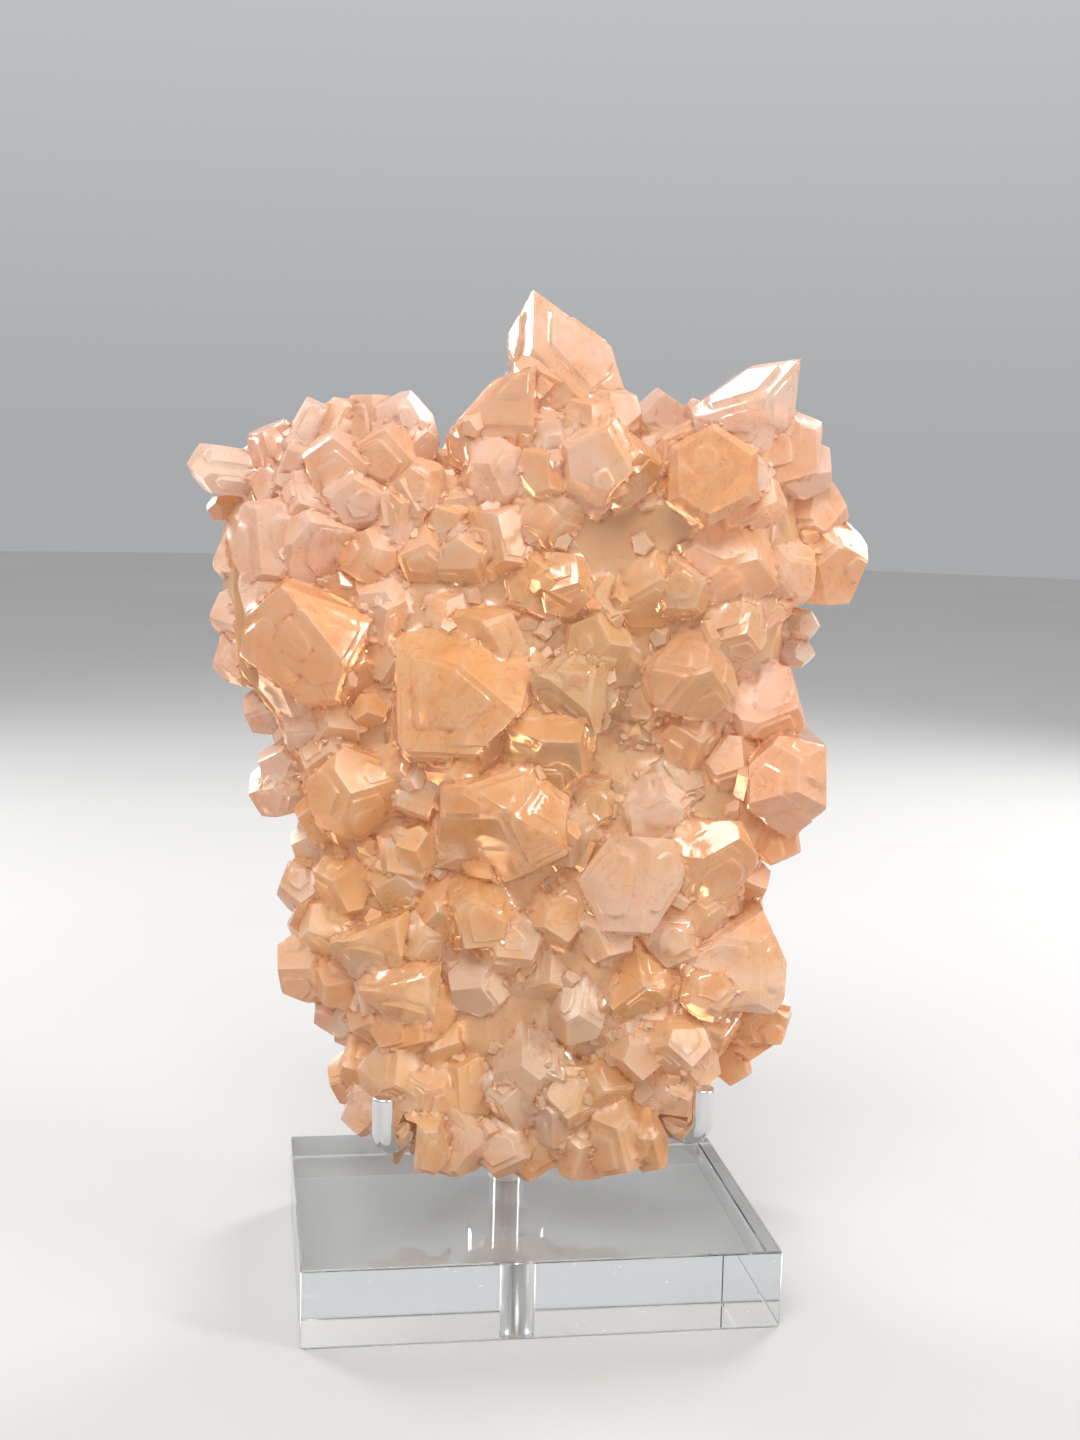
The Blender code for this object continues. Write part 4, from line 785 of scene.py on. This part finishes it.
def arm_points(side):
    """Points along a rod's middle and its radius there, from the collar to the hook's top."""
    direction = arm_direction(side)
    centre = Vector((0, POST_Y, ARM_HEIGHT))
    reach = math.hypot(HOOK_X, HOOK_Y - POST_Y)
    yield centre + direction * (COLLAR_RADIUS - ARM_SOCKET + GAP), ARM_RADIUS
    bend = centre + direction * (reach - HOOK_BEND) + Vector((0, 0, HOOK_BEND))
    steps = 24
    for step in range(steps + 1):
        angle = math.pi / 2 * step / steps
        out = direction * (HOOK_BEND * math.sin(angle))
        yield bend + out + Vector((0, 0, -HOOK_BEND * math.cos(angle))), ARM_RADIUS
    top = centre + direction * reach
    edge = 0.6
    for step in range(7):
        angle = math.pi / 2 * step / 6
        rise = HOOK_TOP - edge + edge * math.sin(angle)
        yield Vector((top.x, top.y, rise)), ARM_RADIUS - edge + edge * math.cos(angle)


def make_arm(name, side, steel):
    points = list(arm_points(side))
    across = arm_direction(side).cross(Vector((0, 0, 1)))
    bm = bmesh.new()
    rings = []
    for index, (place, radius) in enumerate(points):
        before = points[max(index - 1, 0)][0]
        after = points[min(index + 1, len(points) - 1)][0]
        over = (after - before).normalized().cross(across).normalized()
        ring = []
        for step in range(ROD_SIDES):
            angle = math.tau * step / ROD_SIDES
            ring.append(bm.verts.new(place + (across * math.cos(angle) + over * math.sin(angle)) * radius))
        rings.append(ring)
    for lower, upper in itertools.pairwise(rings):
        for step in range(ROD_SIDES):
            after = (step + 1) % ROD_SIDES
            bm.faces.new((lower[step], lower[after], upper[after], upper[step]))
    bm.faces.new(rings[0][::-1])
    bm.faces.new(rings[-1])
    piece = mesh_object("steel_" + name, metre_mesh("steel_" + name, bm), steel)
    dress(piece, name)


def apply_booleans(obj, operation, others, solver):
    """Joins or cuts obj with others, keeps the result as its own mesh and removes the others."""
    group = bpy.data.collections.new("operands")
    bpy.context.scene.collection.children.link(group)
    for other in others:
        for holder in list(other.users_collection):
            holder.objects.unlink(other)
        group.objects.link(other)
    modifier = obj.modifiers.new("join", "BOOLEAN")
    modifier.operation = operation
    modifier.operand_type = "COLLECTION"
    modifier.collection = group
    modifier.solver = solver
    graph = bpy.context.evaluated_depsgraph_get()
    mesh = bpy.data.meshes.new_from_object(obj.evaluated_get(graph))
    obj.modifiers.clear()
    old = obj.data
    obj.data = mesh
    bpy.data.meshes.remove(old)
    for other in others:
        data = other.data
        bpy.data.objects.remove(other, do_unlink=True)
        if not data.users:
            bpy.data.meshes.remove(data)
    bpy.data.collections.remove(group)


def cluster_axes():
    right = Vector((math.cos(CLUSTER_TURN), math.sin(CLUSTER_TURN), 0))
    up = Vector((0, 0, 1))
    return right, up, right.cross(up), Vector((0, CLUSTER_Y, 0))


def to_world(u, v, w):
    right, up, front, origin = cluster_axes()
    return origin + right * u + up * v + front * w


def to_cluster(place):
    right, up, front, origin = cluster_axes()
    offset = place - origin
    return offset.dot(right), offset.dot(up), offset.dot(front)


def recess(u, v):
    """How far the middle of the front sinks in at a place."""
    distance = math.hypot(u - RECESS_MIDDLE[0], v - RECESS_MIDDLE[1])
    return RECESS_DEPTH * math.exp(-((distance / RECESS_WIDTH) ** 2))


def matrix_front(u, v):
    """Height of the grown base's front at a place, without its lumps."""
    nearest = min(math.hypot(u - a, v - b) for a, b in MATRIX_OUTLINE)
    return FRONT_HEIGHT - FRONT_FALL * math.exp(-nearest / FRONT_REACH) - recess(u, v)


def make_matrix_body():
    """The rough plate of grown quartz under the crystals, as rings about its middle."""
    middle_u, middle_v = MATRIX_MIDDLE

    def ring(bm, share, w, front):
        verts = []
        for a, b in MATRIX_OUTLINE:
            u = middle_u + (a - middle_u) * (1 - share)
            v = middle_v + (b - middle_v) * (1 - share)
            depth = w - recess(u, v) if front else w
            lump = LUMP_HEIGHT * noise.noise(Vector((u, v, w)) / LUMP_SIZE)
            verts.append(bm.verts.new(to_world(u, v, depth + lump)))
        return verts

    bm = bmesh.new()
    rings = [ring(bm, share, w, False) for share, w in reversed(MATRIX_BACK[:-1])]
    rings.append(ring(bm, 0.0, MATRIX_EDGE_W, False))
    rings += [ring(bm, share, w, True) for share, w in MATRIX_FRONT[:-1]]
    count = len(MATRIX_OUTLINE)
    for lower, upper in itertools.pairwise(rings):
        for step in range(count):
            after = (step + 1) % count
            bm.faces.new((lower[step], lower[after], upper[after], upper[step]))
    back_w = MATRIX_BACK[-1][1]
    front_w = MATRIX_FRONT[-1][1] - recess(middle_u, middle_v)
    for edge, w in ((rings[0], back_w), (rings[-1], front_w)):
        tip = bm.verts.new(to_world(middle_u, middle_v, w))
        for step in range(count):
            bm.faces.new((edge[step], edge[(step + 1) % count], tip))
    mesh = metre_mesh("crystal_cluster", bm, False)
    write_look(mesh, MATRIX_LOOK, to_world(middle_u, middle_v, 30), cluster_axes()[2], HALF_HEIGHT)
    return mesh


def corners_of(normals, distances):
    """Corners of the convex solid inside the planes normal . x = distance."""
    found = []
    for trio in itertools.combinations(range(len(normals)), 3):
        rows = normals[list(trio)]
        if abs(np.linalg.det(rows)) < 1e-3:
            continue
        corner = np.linalg.solve(rows, distances[list(trio)])
        if (normals @ corner <= distances + 1e-6).all():
            found.append(corner)
    return found


def crystal_corners(tip, axis, line, radius, length, rng):
    """Corners of a stubby six-sided crystal with three broad facets and up to three lesser ones.

    The facets don't quite meet in one point, so each head has a short edge or a small flat.
    """
    side = axis.orthogonal().normalized()
    other = axis.cross(side)
    spin = rng.uniform(0, math.tau)
    normals = [-axis]
    distances = [-axis.dot(tip) + length]
    for step in range(6):
        angle = spin + math.tau * step / 6
        outward = side * math.cos(angle) + other * math.sin(angle)
        normals.append(outward)
        distances.append(outward.dot(line) + radius * rng.uniform(*SIDE_SPREAD))
        tilt = FACET_TILT + rng.uniform(-TILT_SPREAD, TILT_SPREAD)
        rise = rng.uniform(*(LESSER_RISE if step % 2 else BROAD_RISE))
        if step % 2 and radius < DETAILED_RADIUS:
            continue
        facet = outward * math.sin(tilt) + axis * math.cos(tilt)
        normals.append(facet)
        distances.append(facet.dot(tip) + radius * rise)
    return corners_of(np.array(normals, float), np.array(distances, float))


def shaped_corners(name, tip, length):
    """Corners of a crystal whose facets are placed one by one; its body runs straight back."""
    right, up, front, _ = cluster_axes()
    normals = [-front]
    distances = [length - front.dot(tip)]
    for way_u, way_v, way_w, rise in SHAPED[name]:
        facet = (right * way_u + up * way_v + front * way_w).normalized()
        normals.append(facet)
        distances.append(facet.dot(tip) + rise)
    return corners_of(np.array(normals, float), np.array(distances, float))


def write_look(mesh, look, tip, axis, radius, gloss=0.0):
    """Stores a crystal's own colour, how far each corner is from its middle and below its tip."""
    mesh.attributes.new("look", "FLOAT_COLOR", "CORNER")
    mesh.attributes.new("spot", "FLOAT_VECTOR", "CORNER")
    mesh.attributes.new("gloss", "FLOAT", "CORNER")
    mesh.attributes["gloss"].data.foreach_set("value", [gloss] * len(mesh.loops))
    colours = mesh.attributes["look"]
    spots = mesh.attributes["spot"]
    way = 1.0 if noise.cell(tip * 0.37) > -0.3 else -0.6
    for loop in mesh.loops:
        place = mesh.vertices[loop.vertex_index].co / MM
        below = (tip - place).dot(axis)
        aside = (place - tip + axis * below).length / max(radius, 1.0)
        colours.data[loop.index].color = (*look, 1.0)
        spots.data[loop.index].vector = (aside * way, radius, below)


def crystal_mesh(name, tip, lean, radius, length, offset, rng, look):
    """A six-sided quartz point; offset moves its body off the line of its tip."""
    right, up, front, _ = cluster_axes()
    axis = (right * lean[0] + up * lean[1] + front * lean[2]).normalized()
    shift = (right * offset[0] + up * offset[1]) * radius
    line = tip + shift - axis * shift.dot(axis)
    if name in SHAPED:
        corners = shaped_corners(name, tip, length)
    else:
        corners = crystal_corners(tip, axis, line, radius, length, rng)
    bm = bmesh.new()
    for corner in corners:
        bm.verts.new(corner)
    bmesh.ops.remove_doubles(bm, verts=bm.verts, dist=0.25 if radius > YOUNG_RADIUS[1] else 0.02)
    hull = bmesh.ops.convex_hull(bm, input=bm.verts)
    spare = [e for e in hull["geom_interior"] if isinstance(e, bmesh.types.BMVert)]
    bmesh.ops.delete(bm, geom=spare, context="VERTS")
    bmesh.ops.dissolve_limit(bm, angle_limit=math.radians(1.0), verts=bm.verts, edges=bm.edges)
    mesh = metre_mesh(name, bm, False)
    glossy = name in SHAPED or abs(noise.cell(tip * 0.53)) > GLOSSY_FROM
    write_look(mesh, look, tip, axis, radius, float(glossy))
    return mesh


def inside_outline(u, v):
    """Whether a place is inside the grown base's outline."""
    inside = False
    for (a, b), (c, d) in zip(MATRIX_OUTLINE, MATRIX_OUTLINE[1:] + MATRIX_OUTLINE[:1]):
        if (b > v) != (d > v) and u < (c - a) * (v - b) / (d - b) + a:
            inside = not inside
    return inside


def grid_places(step, rng):
    """Jittered places on a staggered grid inside the outline."""
    us = [a for a, _ in MATRIX_OUTLINE]
    vs = [b for _, b in MATRIX_OUTLINE]
    row = 0
    v = min(vs)
    while v < max(vs):
        u = min(us) + (step / 2 if row % 2 else 0)
        while u < max(us):
            shift_u = rng.uniform(-PLACE_SCATTER, PLACE_SCATTER) * step
            shift_v = rng.uniform(-PLACE_SCATTER, PLACE_SCATTER) * step
            place = (u + shift_u, v + shift_v)
            if inside_outline(*place):
                yield place
            u += step
        v += step * ROW_SHARE
        row += 1


def covered(u, v, margin):
    """Whether a main crystal's body already stands at a place."""
    for _, a, b, _, _, _, radius, _, off_u, off_v, _ in CRYSTALS:
        middle = (a + off_u * radius, b + off_v * radius)
        if math.hypot(u - middle[0], v - middle[1]) < radius * margin:
            return True
    return False


def outward_lean(u, v, amount, rng):
    """A lean away from the middle, with some scatter."""
    away = Vector((u - MATRIX_MIDDLE[0], v - MATRIX_MIDDLE[1])) * amount / HALF_HEIGHT
    return away.x + rng.gauss(0, LEAN_SCATTER), away.y + rng.gauss(0, LEAN_SCATTER)


# How warm, how pink and how grey the bare grown base is
MATRIX_LOOK = (0.45, 0.1, 0.45)

# How deep the colour of the crystals that have no row of their own is
SMALL_TONE = 2.0
BACK_TONE = 3.0
RIM_TONE = 1.5

# Colour zones: place u and v, width, then what they add to warmth, pink and grey
ZONES = (
    ((0, 240), 30, (-0.05, 0.25, -0.1)),
    ((-60, 215), 34, (-0.15, 0.3, -0.1)),
    ((62, 225), 30, (-0.1, 0.25, -0.1)),
    ((66, 150), 28, (0.0, 0.35, -0.1)),
    ((20, 168), 32, (0.1, -0.1, 0.45)),
    ((12, 70), 26, (-0.1, -0.05, 0.35)),
    ((-42, 98), 36, (0.28, -0.12, 0.18)),
    ((-72, 150), 14, (-0.5, 0.1, 0.0)),
    ((24, 134), 20, (0.0, -0.1, 0.75)),
    ((29, 121), 7, (-0.1, 0.15, -0.6)),
    ((-60, 184), 14, (-0.3, 0.0, 0.0)),
    ((40, 196), 14, (-0.15, 0.05, 0.0)),
    ((-5, 45), 45, (0.0, -0.05, 0.2)),
)


def look_at(u, v, tone):
    """Warmth, pink and grey of a crystal that stands at a place."""
    values = [tone / 5.0, 0.12, 0.05]
    for (a, b), width, gains in ZONES:
        share = math.exp(-((u - a) ** 2 + (v - b) ** 2) / width**2)
        for index, gain in enumerate(gains):
            values[index] += gain * share
    chance = noise.cell(Vector((u * 1.7, v * 1.3, tone * 3.1)))
    values[0] += 0.1 * chance
    return [min(max(value, 0.0), 1.0) for value in values]


def make_crystals():
    """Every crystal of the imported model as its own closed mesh, with its colour."""
    rng = random.Random(SEED)
    for name, u, v, w, lean_u, lean_v, radius, length, off_u, off_v, tone in CRYSTALS:
        lean = (lean_u, lean_v, 1.0)
        look = look_at(u, v, tone)
        tip = to_world(u, v, w)
        yield crystal_mesh(name, tip, lean, radius, length, (off_u, off_v), rng, look)
    for u, v in grid_places(FILLER_STEP, rng):
        if covered(u, v, FILLER_MARGIN):
            continue
        tip = to_world(u, v, matrix_front(u, v) + rng.uniform(*FILLER_RISE))
        lean = (*outward_lean(u, v, FILLER_SPREAD, rng), 1.0)
        radius = rng.uniform(*FILLER_RADIUS)
        yield crystal_mesh("small", tip, lean, radius, FILLER_LENGTH, (0, 0), rng, look_at(u, v, SMALL_TONE))
    for u, v in grid_places(BACK_STEP, rng):
        tip = to_world(u, v, BACK_W - rng.uniform(*BACK_RISE))
        lean = (*outward_lean(u, v, BACK_SPREAD, rng), -1.0)
        radius = rng.uniform(*BACK_RADIUS)
        yield crystal_mesh("back", tip, lean, radius, BACK_LENGTH, (0, 0), rng, look_at(u, v, BACK_TONE))
    for step in range(RIM_STEPS):
        place = step / RIM_STEPS * len(MATRIX_OUTLINE)
        first = MATRIX_OUTLINE[int(place)]
        after = MATRIX_OUTLINE[(int(place) + 1) % len(MATRIX_OUTLINE)]
        share = place % 1
        u = first[0] + (after[0] - first[0]) * share
        v = first[1] + (after[1] - first[1]) * share
        lean_u, lean_v = outward_lean(u, v, RIM_SPREAD, rng)
        reach = rng.uniform(*RIM_REACH) / HALF_HEIGHT
        u += (u - MATRIX_MIDDLE[0]) * reach
        v += (v - MATRIX_MIDDLE[1]) * reach
        tip = to_world(u, v, rng.uniform(*RIM_W))
        lean = (lean_u, lean_v, rng.uniform(*RIM_LEAN_W))
        radius = rng.uniform(*RIM_RADIUS)
        yield crystal_mesh("rim", tip, lean, radius, RIM_LENGTH, (0, 0), rng, look_at(u, v, RIM_TONE))


def stand_clearances():
    """Boxes that keep the cluster clear of the stand and free to lift out."""
    centre = Vector((0, POST_Y, ARM_HEIGHT))
    half = ARM_RADIUS + GAP
    reach = math.hypot(HOOK_X, HOOK_Y - POST_Y)
    hook_rise = HOOK_TOP - ARM_HEIGHT + GAP
    for side in (-1, 1):
        turn = arm_direction(side).to_track_quat("X", "Z").to_matrix().to_4x4()
        for low, high in (
            ((0, -half, -CUT_CLEAR), (reach + CUT_CLEAR, half, half)),
            ((reach - half, -half, -CUT_CLEAR), (reach + CUT_CLEAR, half, hook_rise)),
        ):
            yield box_object(low, high, Matrix.Translation(centre) @ turn)
    behind = POST_Y + CUT_CLEAR
    top = ARM_HEIGHT + COLLAR_HEIGHT / 2 + GAP
    wide = COLLAR_RADIUS + GAP
    yield box_object((-wide, POST_Y - wide, 0), (wide, behind, top), Matrix())
    slim = POST_RADIUS + GAP
    yield box_object((-slim, POST_Y - slim, 0), (slim, behind, POST_TOP + GAP), Matrix())


def box_object(low, high, turn):
    bm = bmesh.new()
    bmesh.ops.create_cube(bm, size=1.0)
    bmesh.ops.scale(bm, vec=[b - a for a, b in zip(low, high)], verts=bm.verts)
    bmesh.ops.translate(bm, vec=[(a + b) / 2 for a, b in zip(low, high)], verts=bm.verts)
    bmesh.ops.transform(bm, matrix=turn, verts=bm.verts)
    mesh = metre_mesh("slot", bm, False)
    write_look(mesh, MATRIX_LOOK, Vector((0, 0, 0)), Vector((0, 0, 1)), HALF_HEIGHT)
    return mesh_object("slot", mesh)


def picked(weights, count, rng):
    """Indices drawn at random, each as often as its weight says."""
    steps = np.cumsum(weights) / np.sum(weights)
    for _ in range(count):
        yield min(int(np.searchsorted(steps, rng.random())), len(steps) - 1)


def stepped_growth(crystals, rng):
    """Smaller copies of the large crystals, a little proud of their front faces."""
    front = cluster_axes()[2]
    for crystal in crystals:
        for face in crystal.polygons:
            if face.area < STEP_AREA * MM**2 or face.normal.dot(front) < STEP_FACING:
                continue
            corners = [crystal.vertices[index].co for index in face.vertices]
            for _ in range(rng.randint(*STEP_COUNT)):
                shares = [rng.random() ** 4 for _ in corners]
                place = sum((c * s for c, s in zip(corners, shares)), Vector()) / sum(shares)
                lift = face.normal * rng.uniform(*STEP_RISE) * MM
                size = Matrix.Scale(rng.uniform(*STEP_SIZE), 4)
                step = crystal.copy()
                step.transform(Matrix.Translation(place + lift) @ size @ Matrix.Translation(-place))
                yield step


def joint_places(mesh, count, rng):
    """Random places where two crystals meet, with the way out and the colour of one of them."""
    bm = bmesh.new()
    bm.from_mesh(mesh)
    looks = bm.loops.layers.float_color["look"]
    joints = []
    for edge in bm.edges:
        if not edge.is_manifold or edge.is_convex or edge.calc_face_angle(0) < JOINT_ANGLE:
            continue
        first, other = [loop[looks].copy() for loop in edge.link_loops]
        if (first - other).length > SAME_LOOK:
            out = (edge.link_faces[0].normal + edge.link_faces[1].normal).normalized()
            joints.append((edge.verts[0].co / MM, edge.verts[1].co / MM, out, tuple(first)[:3]))
    bm.free()
    for index in picked([(b - a).length for a, b, _, _ in joints], count, rng):
        a, b, out, look = joints[index]
        yield a.lerp(b, rng.random()), out, look


def bare_places(mesh, count, rng):
    """Random places on the ground mass that still shows between the crystals."""
    spots = mesh.attributes["spot"].data
    bare = [face for face in mesh.polygons if spots[face.loop_start].vector[1] == HALF_HEIGHT]
    for index in picked([face.area for face in bare], count, rng):
        a, b, c = [mesh.vertices[corner].co / MM for corner in bare[index].vertices]
        r, s = rng.random(), rng.random()
        if r + s > 1:
            r, s = 1 - r, 1 - s
        place = a + (b - a) * r + (c - a) * s
        yield place, bare[index].normal, look_at(*to_cluster(place)[:2], rng.uniform(*BARE_TONE))


def triangulated(mesh):
    bm = bmesh.new()
    bm.from_mesh(mesh)
    bmesh.ops.triangulate(bm, faces=bm.faces)
    bm.to_mesh(mesh)
    bm.free()


def grow_small(cluster, quartz):
    """Young crystals and sugary druse, grown in the joints and on the bare ground mass."""
    rng = random.Random(SEED + 1)
    right, up, front, _ = cluster_axes()
    triangulated(cluster.data)
    grown = []
    for places, count, radii in (
        (joint_places, YOUNG_COUNT, YOUNG_RADIUS),
        (joint_places, DRUSE_COUNT, DRUSE_RADIUS),
        (bare_places, BARE_COUNT, YOUNG_RADIUS),
    ):
        for place, normal, look in places(cluster.data, count, rng):
            scatter = Vector([rng.gauss(0, 0.35) for _ in range(3)])
            out = (normal + scatter).normalized()
            radius = rng.uniform(*radii)
            lean = (out.dot(right), out.dot(up), out.dot(front))
            tip = place + out * radius * rng.uniform(*YOUNG_RISE)
            grown.append(crystal_mesh("young", tip, lean, radius, radius * 4, (0, 0), rng, look))
    others = [mesh_object("young", mesh, quartz) for mesh in grown]
    apply_booleans(cluster, "UNION", others, "MANIFOLD")


def refine(mesh):
    """Cuts long edges, finely on the front, so that wear, stain and the painted ridge highlight can follow
    the shape.
    """
    front = cluster_axes()[2]
    origin = cluster_axes()[3]
    bm = bmesh.new()
    bm.from_mesh(mesh)
    bmesh.ops.triangulate(bm, faces=bm.faces)
    for _ in range(REFINE_PASSES):
        long = []
        for edge in bm.edges:
            middle = (edge.verts[0].co + edge.verts[1].co) / 2 / MM
            depth = (middle - origin).dot(front)
            if edge.calc_length() / MM > (FRONT_EDGE if depth > REFINE_W else BACK_EDGE):
                long.append(edge)
        if not long:
            break
        bmesh.ops.subdivide_edges(bm, edges=long, cuts=1)
        bmesh.ops.triangulate(bm, faces=[f for f in bm.faces if len(f.verts) > 3])
    bm.to_mesh(mesh)
    bm.free()


def neighbour_mean(values, edges, share):
    """The mean of each vertex's neighbours; share is one over how many it has."""
    total = np.zeros_like(values)
    for column in range(values.shape[1]):
        total[:, column] = np.bincount(
            edges[:, 0], weights=values[edges[:, 1], column], minlength=len(values)
        ) + np.bincount(edges[:, 1], weights=values[edges[:, 0], column], minlength=len(values))
    return total * share[:, None]


def sunk(places, soft, normals):
    """How far each vertex lies below the softened surface: more than nothing in a joint."""
    return ((soft - places) * normals).sum(axis=1)


def vertex_normals(mesh, places):
    """Moves the vertices to their places, in millimetres, and gives the normals there."""
    mesh.vertices.foreach_set("co", (places * MM).ravel())
    mesh.update()
    normals = np.empty(places.size)
    mesh.vertex_normals.foreach_get("vector", normals)
    return normals.reshape(-1, 3)


def crystal_sizes(mesh):
    """The radius of the smallest crystal that each vertex belongs to."""
    radii = np.empty(len(mesh.loops) * 3, np.float32)
    mesh.attributes["spot"].data.foreach_get("vector", radii)
    owners = np.empty(len(mesh.loops), np.int32)
    mesh.loops.foreach_get("vertex_index", owners)
    sizes = np.full(len(mesh.vertices), HALF_HEIGHT)
    np.minimum.at(sizes, owners, radii.reshape(-1, 3)[:, 1])
    return sizes


def wear_stain_and_highlight_masks(mesh):
    """Fills the joints, softens edges and stores where the joints and hollows are; the joint value also marks
    the ridges that get a pale colour, partly wear and partly painted highlight.
    """
    count = len(mesh.vertices)
    places = np.empty(count * 3)
    mesh.vertices.foreach_get("co", places)
    places = places.reshape(-1, 3) / MM
    edges = np.empty(len(mesh.edges) * 2, np.int32)
    mesh.edges.foreach_get("vertices", edges)
    edges = edges.reshape(-1, 2)
    share = 1 / np.maximum(np.bincount(edges.ravel(), minlength=count), 1)
    normals = vertex_normals(mesh, places)
    soft = neighbour_mean(neighbour_mean(places, edges, share), edges, share)
    joint = sunk(places, soft, normals)
    mesh.attributes.new("joint", "FLOAT", "POINT").data.foreach_set("value", joint)
    large = np.clip(crystal_sizes(mesh) / YOUNG_RADIUS[1] - 1, 0, 1)[:, None]
    for _ in range(FILL_PASSES):
        mean = neighbour_mean(places, edges, share)
        low = np.clip(sunk(places, mean, vertex_normals(mesh, places)) / FILL_DEPTH, 0, FILL_SHARE)
        places += large * low[:, None] * (mean - places)
    places += WEAR_SHARE * large * (neighbour_mean(places, edges, share) - places)
    normals = vertex_normals(mesh, places)
    swell = np.array([noise.noise(Vector(place) / SWELL_SIZE) for place in places])
    places += normals * (swell * SWELL_HEIGHT)[:, None]
    normals = vertex_normals(mesh, places)
    soft = places.copy()
    for _ in range(HOLLOW_PASSES):
        soft = neighbour_mean(soft, edges, share)
    hollow = sunk(places, soft, normals)
    mesh.attributes.new("hollow", "FLOAT", "POINT").data.foreach_set("value", hollow)


def make_cluster(quartz):
    cluster = mesh_object("quartz_cluster", make_matrix_body(), quartz)
    meshes = list(make_crystals())
    meshes += list(stepped_growth(meshes, random.Random(SEED + 2)))
    crystals = [mesh_object("crystal", mesh, quartz) for mesh in meshes]
    apply_booleans(cluster, "UNION", crystals, "MANIFOLD")
    grow_small(cluster, quartz)
    apply_booleans(cluster, "DIFFERENCE", list(stand_clearances()), "MANIFOLD")
    refine(cluster.data)
    cluster.data.validate()
    wear_stain_and_highlight_masks(cluster.data)
    cluster.data.shade_smooth()
    cluster.data.set_sharp_from_angle(angle=SHARP_ANGLE)
    cluster.data.materials.clear()
    cluster.data.materials.append(quartz)
    dress(cluster, "crystal_cluster")


def main():
    make_floor()
    make_lights()
    make_camera()
    steel = steel_material()
    acrylic = acrylic_material()
    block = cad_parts["base_block"]
    block.data.materials.clear()
    block.data.materials.append(acrylic)
    make_post(steel)
    make_collar(steel)
    for name, side in (("arm_left", -1), ("arm_right", 1)):
        make_arm(name, side, steel)
    make_cluster(quartz_material())
    scene = bpy.context.scene
    scene.view_settings.view_transform = "Standard"
    bpy.context.view_layer.update()


main()
